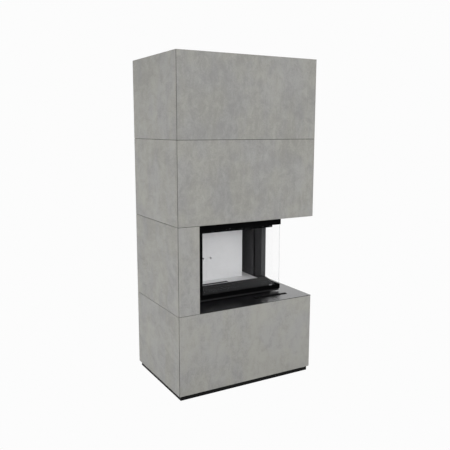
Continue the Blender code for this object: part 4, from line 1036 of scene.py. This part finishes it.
def flange_places():
    """Four along the front and the rear of the dome's flange, and one at the middle of each side."""
    xs = np.linspace(DOME_LOW[0] + FLANGE_INSET, DOME_HIGH[0] - FLANGE_INSET, 4)
    front, centre, rear = np.linspace(DOME_LOW[1] + FLANGE_INSET, DOME_HIGH[1] - FLANGE_INSET, 3)
    level = DOME_LOW[2] + FLANGE
    long_sides = [(x, y, level) for x in xs for y in (front, rear)]
    return long_sides + [(x, centre, level) for x in (xs[0], xs[-1])]


bolts("dome_bolts", flange_places(), UP, *DOME_BOLT, zinc)
stand_places = [(x, y, STAND_FOOT) for x in STAND_BOLTS_X for y in STAND_BOLTS_Y]
bolts("stand_bolts", stand_places, UP, *STAND_BOLT, zinc)

# %% Welds of the firebox
BODY_LOW, BODY_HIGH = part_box("firebox_body")
STITCH = 0.030
STITCH_PITCH = 0.085
STITCH_WELD = 0.0019
SEAM_HEIGHT = BODY_HIGH[2] - 0.004
FIRST_REAR_STITCH = -0.315
FIRST_LEFT_STITCH = -0.090


def stitches(name, start, direction, count):
    """Equal short welds in a row along a seam, each a tapered tube of drops. Taper = square root of 1
    minus the eighth power of the distance from the weld's middle, where 1 is its end."""
    points = DROP_POINTS * round(STITCH / DROP) + 1
    share = np.linspace(0.0, 1.0, points)[:, None]
    taper = np.sqrt(np.clip(1.0 - (2.0 * share - 1.0) ** 8, 0.02, 1.0))
    section = drops(points, STITCH_WELD) * taper[..., None]
    start, direction = np.array(start, float), np.array(direction, float)
    starts = [start + number * STITCH_PITCH * direction for number in range(count)]
    rows = [carried(first + STITCH * share * direction, section) for first in starts]
    return add_piece(name, np.concatenate(rows), weld_steel, "kit")


stitches("rear_welds", (FIRST_REAR_STITCH, BODY_HIGH[1], SEAM_HEIGHT), (1, 0, 0), 7)
stitches("left_welds", (BODY_LOW[0], FIRST_LEFT_STITCH, SEAM_HEIGHT), (0, 1, 0), 4)

# %% [markdown]
# ## Joining plates and screws
# Flat plates screw the frame's rails to its posts, on the inside where no slab lies against them. Low
# round-headed screws hold the plates and the two black fascias beside the door. A plate is a small bar
# with bevelled edges, and its screws stand on it.

# %% Plate with its screws
PLATE = 0.003
PLATE_WIDTH = 0.021
PLATE_CHAMFER = 0.0006
PLATE_GAP = 0.0002
SCREW = (
    # radius and height of each point of the profile
    (0.0, 0.0), (0.0042, 0.0), (0.0040, 0.0012), (0.0028, 0.0021), (0.0012, 0.0022), (0.0011, 0.0014),
    (0.0, 0.0014),
)
SCREW_SHARES = (0.12, 0.34, 0.66, 0.88)


def joining_plate(name, start, end, normal):
    """A strip from start to end on a face that looks along the normal, with two screws at each end."""
    start, end, normal = (np.asarray(value, float) for value in (start, end, normal))
    half, low, high = PLATE_WIDTH / 2, PLATE_GAP, PLATE_GAP + PLATE
    section = (
        (-half, low), (half, low), (half, high - PLATE_CHAMFER), (half - PLATE_CHAMFER, high),
        (PLATE_CHAMFER - half, high), (-half, high - PLATE_CHAMFER),
    )
    add_piece(name, carried(np.stack((start, end)), section, normal), zinc, "kit", smooth=False)
    heads = start + np.array(SCREW_SHARES)[:, None] * (end - start) + normal * high
    add_piece(name + "_screws", turned(SCREW, heads, normal, 16), clip_steel, "kit")


print("screws on a plate:", len(SCREW_SHARES))

# %% Plates of the frame
TUBE = 0.025
SHELF_RAIL_LOW, SHELF_RAIL_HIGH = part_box("shelf_frame")
HOOD_RAIL_LOW, HOOD_RAIL_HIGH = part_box("hood_frame")
RAIL_BACK = SHELF_RAIL_LOW[1] + TUBE
SIDE_BACK = HOOD_RAIL_HIGH[0] - TUBE
PLATE_ENDS = (-0.447, -0.377)
REAR_PLATE_ENDS = (0.315, 0.245)
HOOD_MIDDLE = HOOD_RAIL_LOW[2] + TUBE / 2
for name, height in (("shelf_joint", SHELF_RAIL_HIGH[2] - TUBE / 2), ("hood_joint", HOOD_MIDDLE)):
    start, end = ((x, RAIL_BACK, height) for x in PLATE_ENDS)
    joining_plate(name, start, end, (0, 1, 0))
start, end = ((SIDE_BACK, y, HOOD_MIDDLE) for y in REAR_PLATE_ENDS)
joining_plate("rear_joint", start, end, (-1, 0, 0))

# %% Fascia screws
black_screw = painted("black_screw", (0.006, 0.006, 0.006), roughness=0.5, gloss=0.1, peel=900.0)
SCREW_HEIGHTS = (0.560, 0.790, 1.020)
LEFT_SCREW_X = -0.3300
RIGHT_SCREW_Y = 0.2050
left_heads = [(LEFT_SCREW_X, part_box("fascia_left")[0][1], height) for height in SCREW_HEIGHTS]
right_heads = [(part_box("fascia_right")[1][0], RIGHT_SCREW_Y, height) for height in SCREW_HEIGHTS]
add_piece("fascia_left_screws", turned(SCREW, left_heads, (0, -1, 0), 16), black_screw, "kit")
add_piece("fascia_right_screws", turned(SCREW, right_heads, (1, 0, 0), 16), black_screw, "kit")

# %% [markdown]
# ## Finish the scene
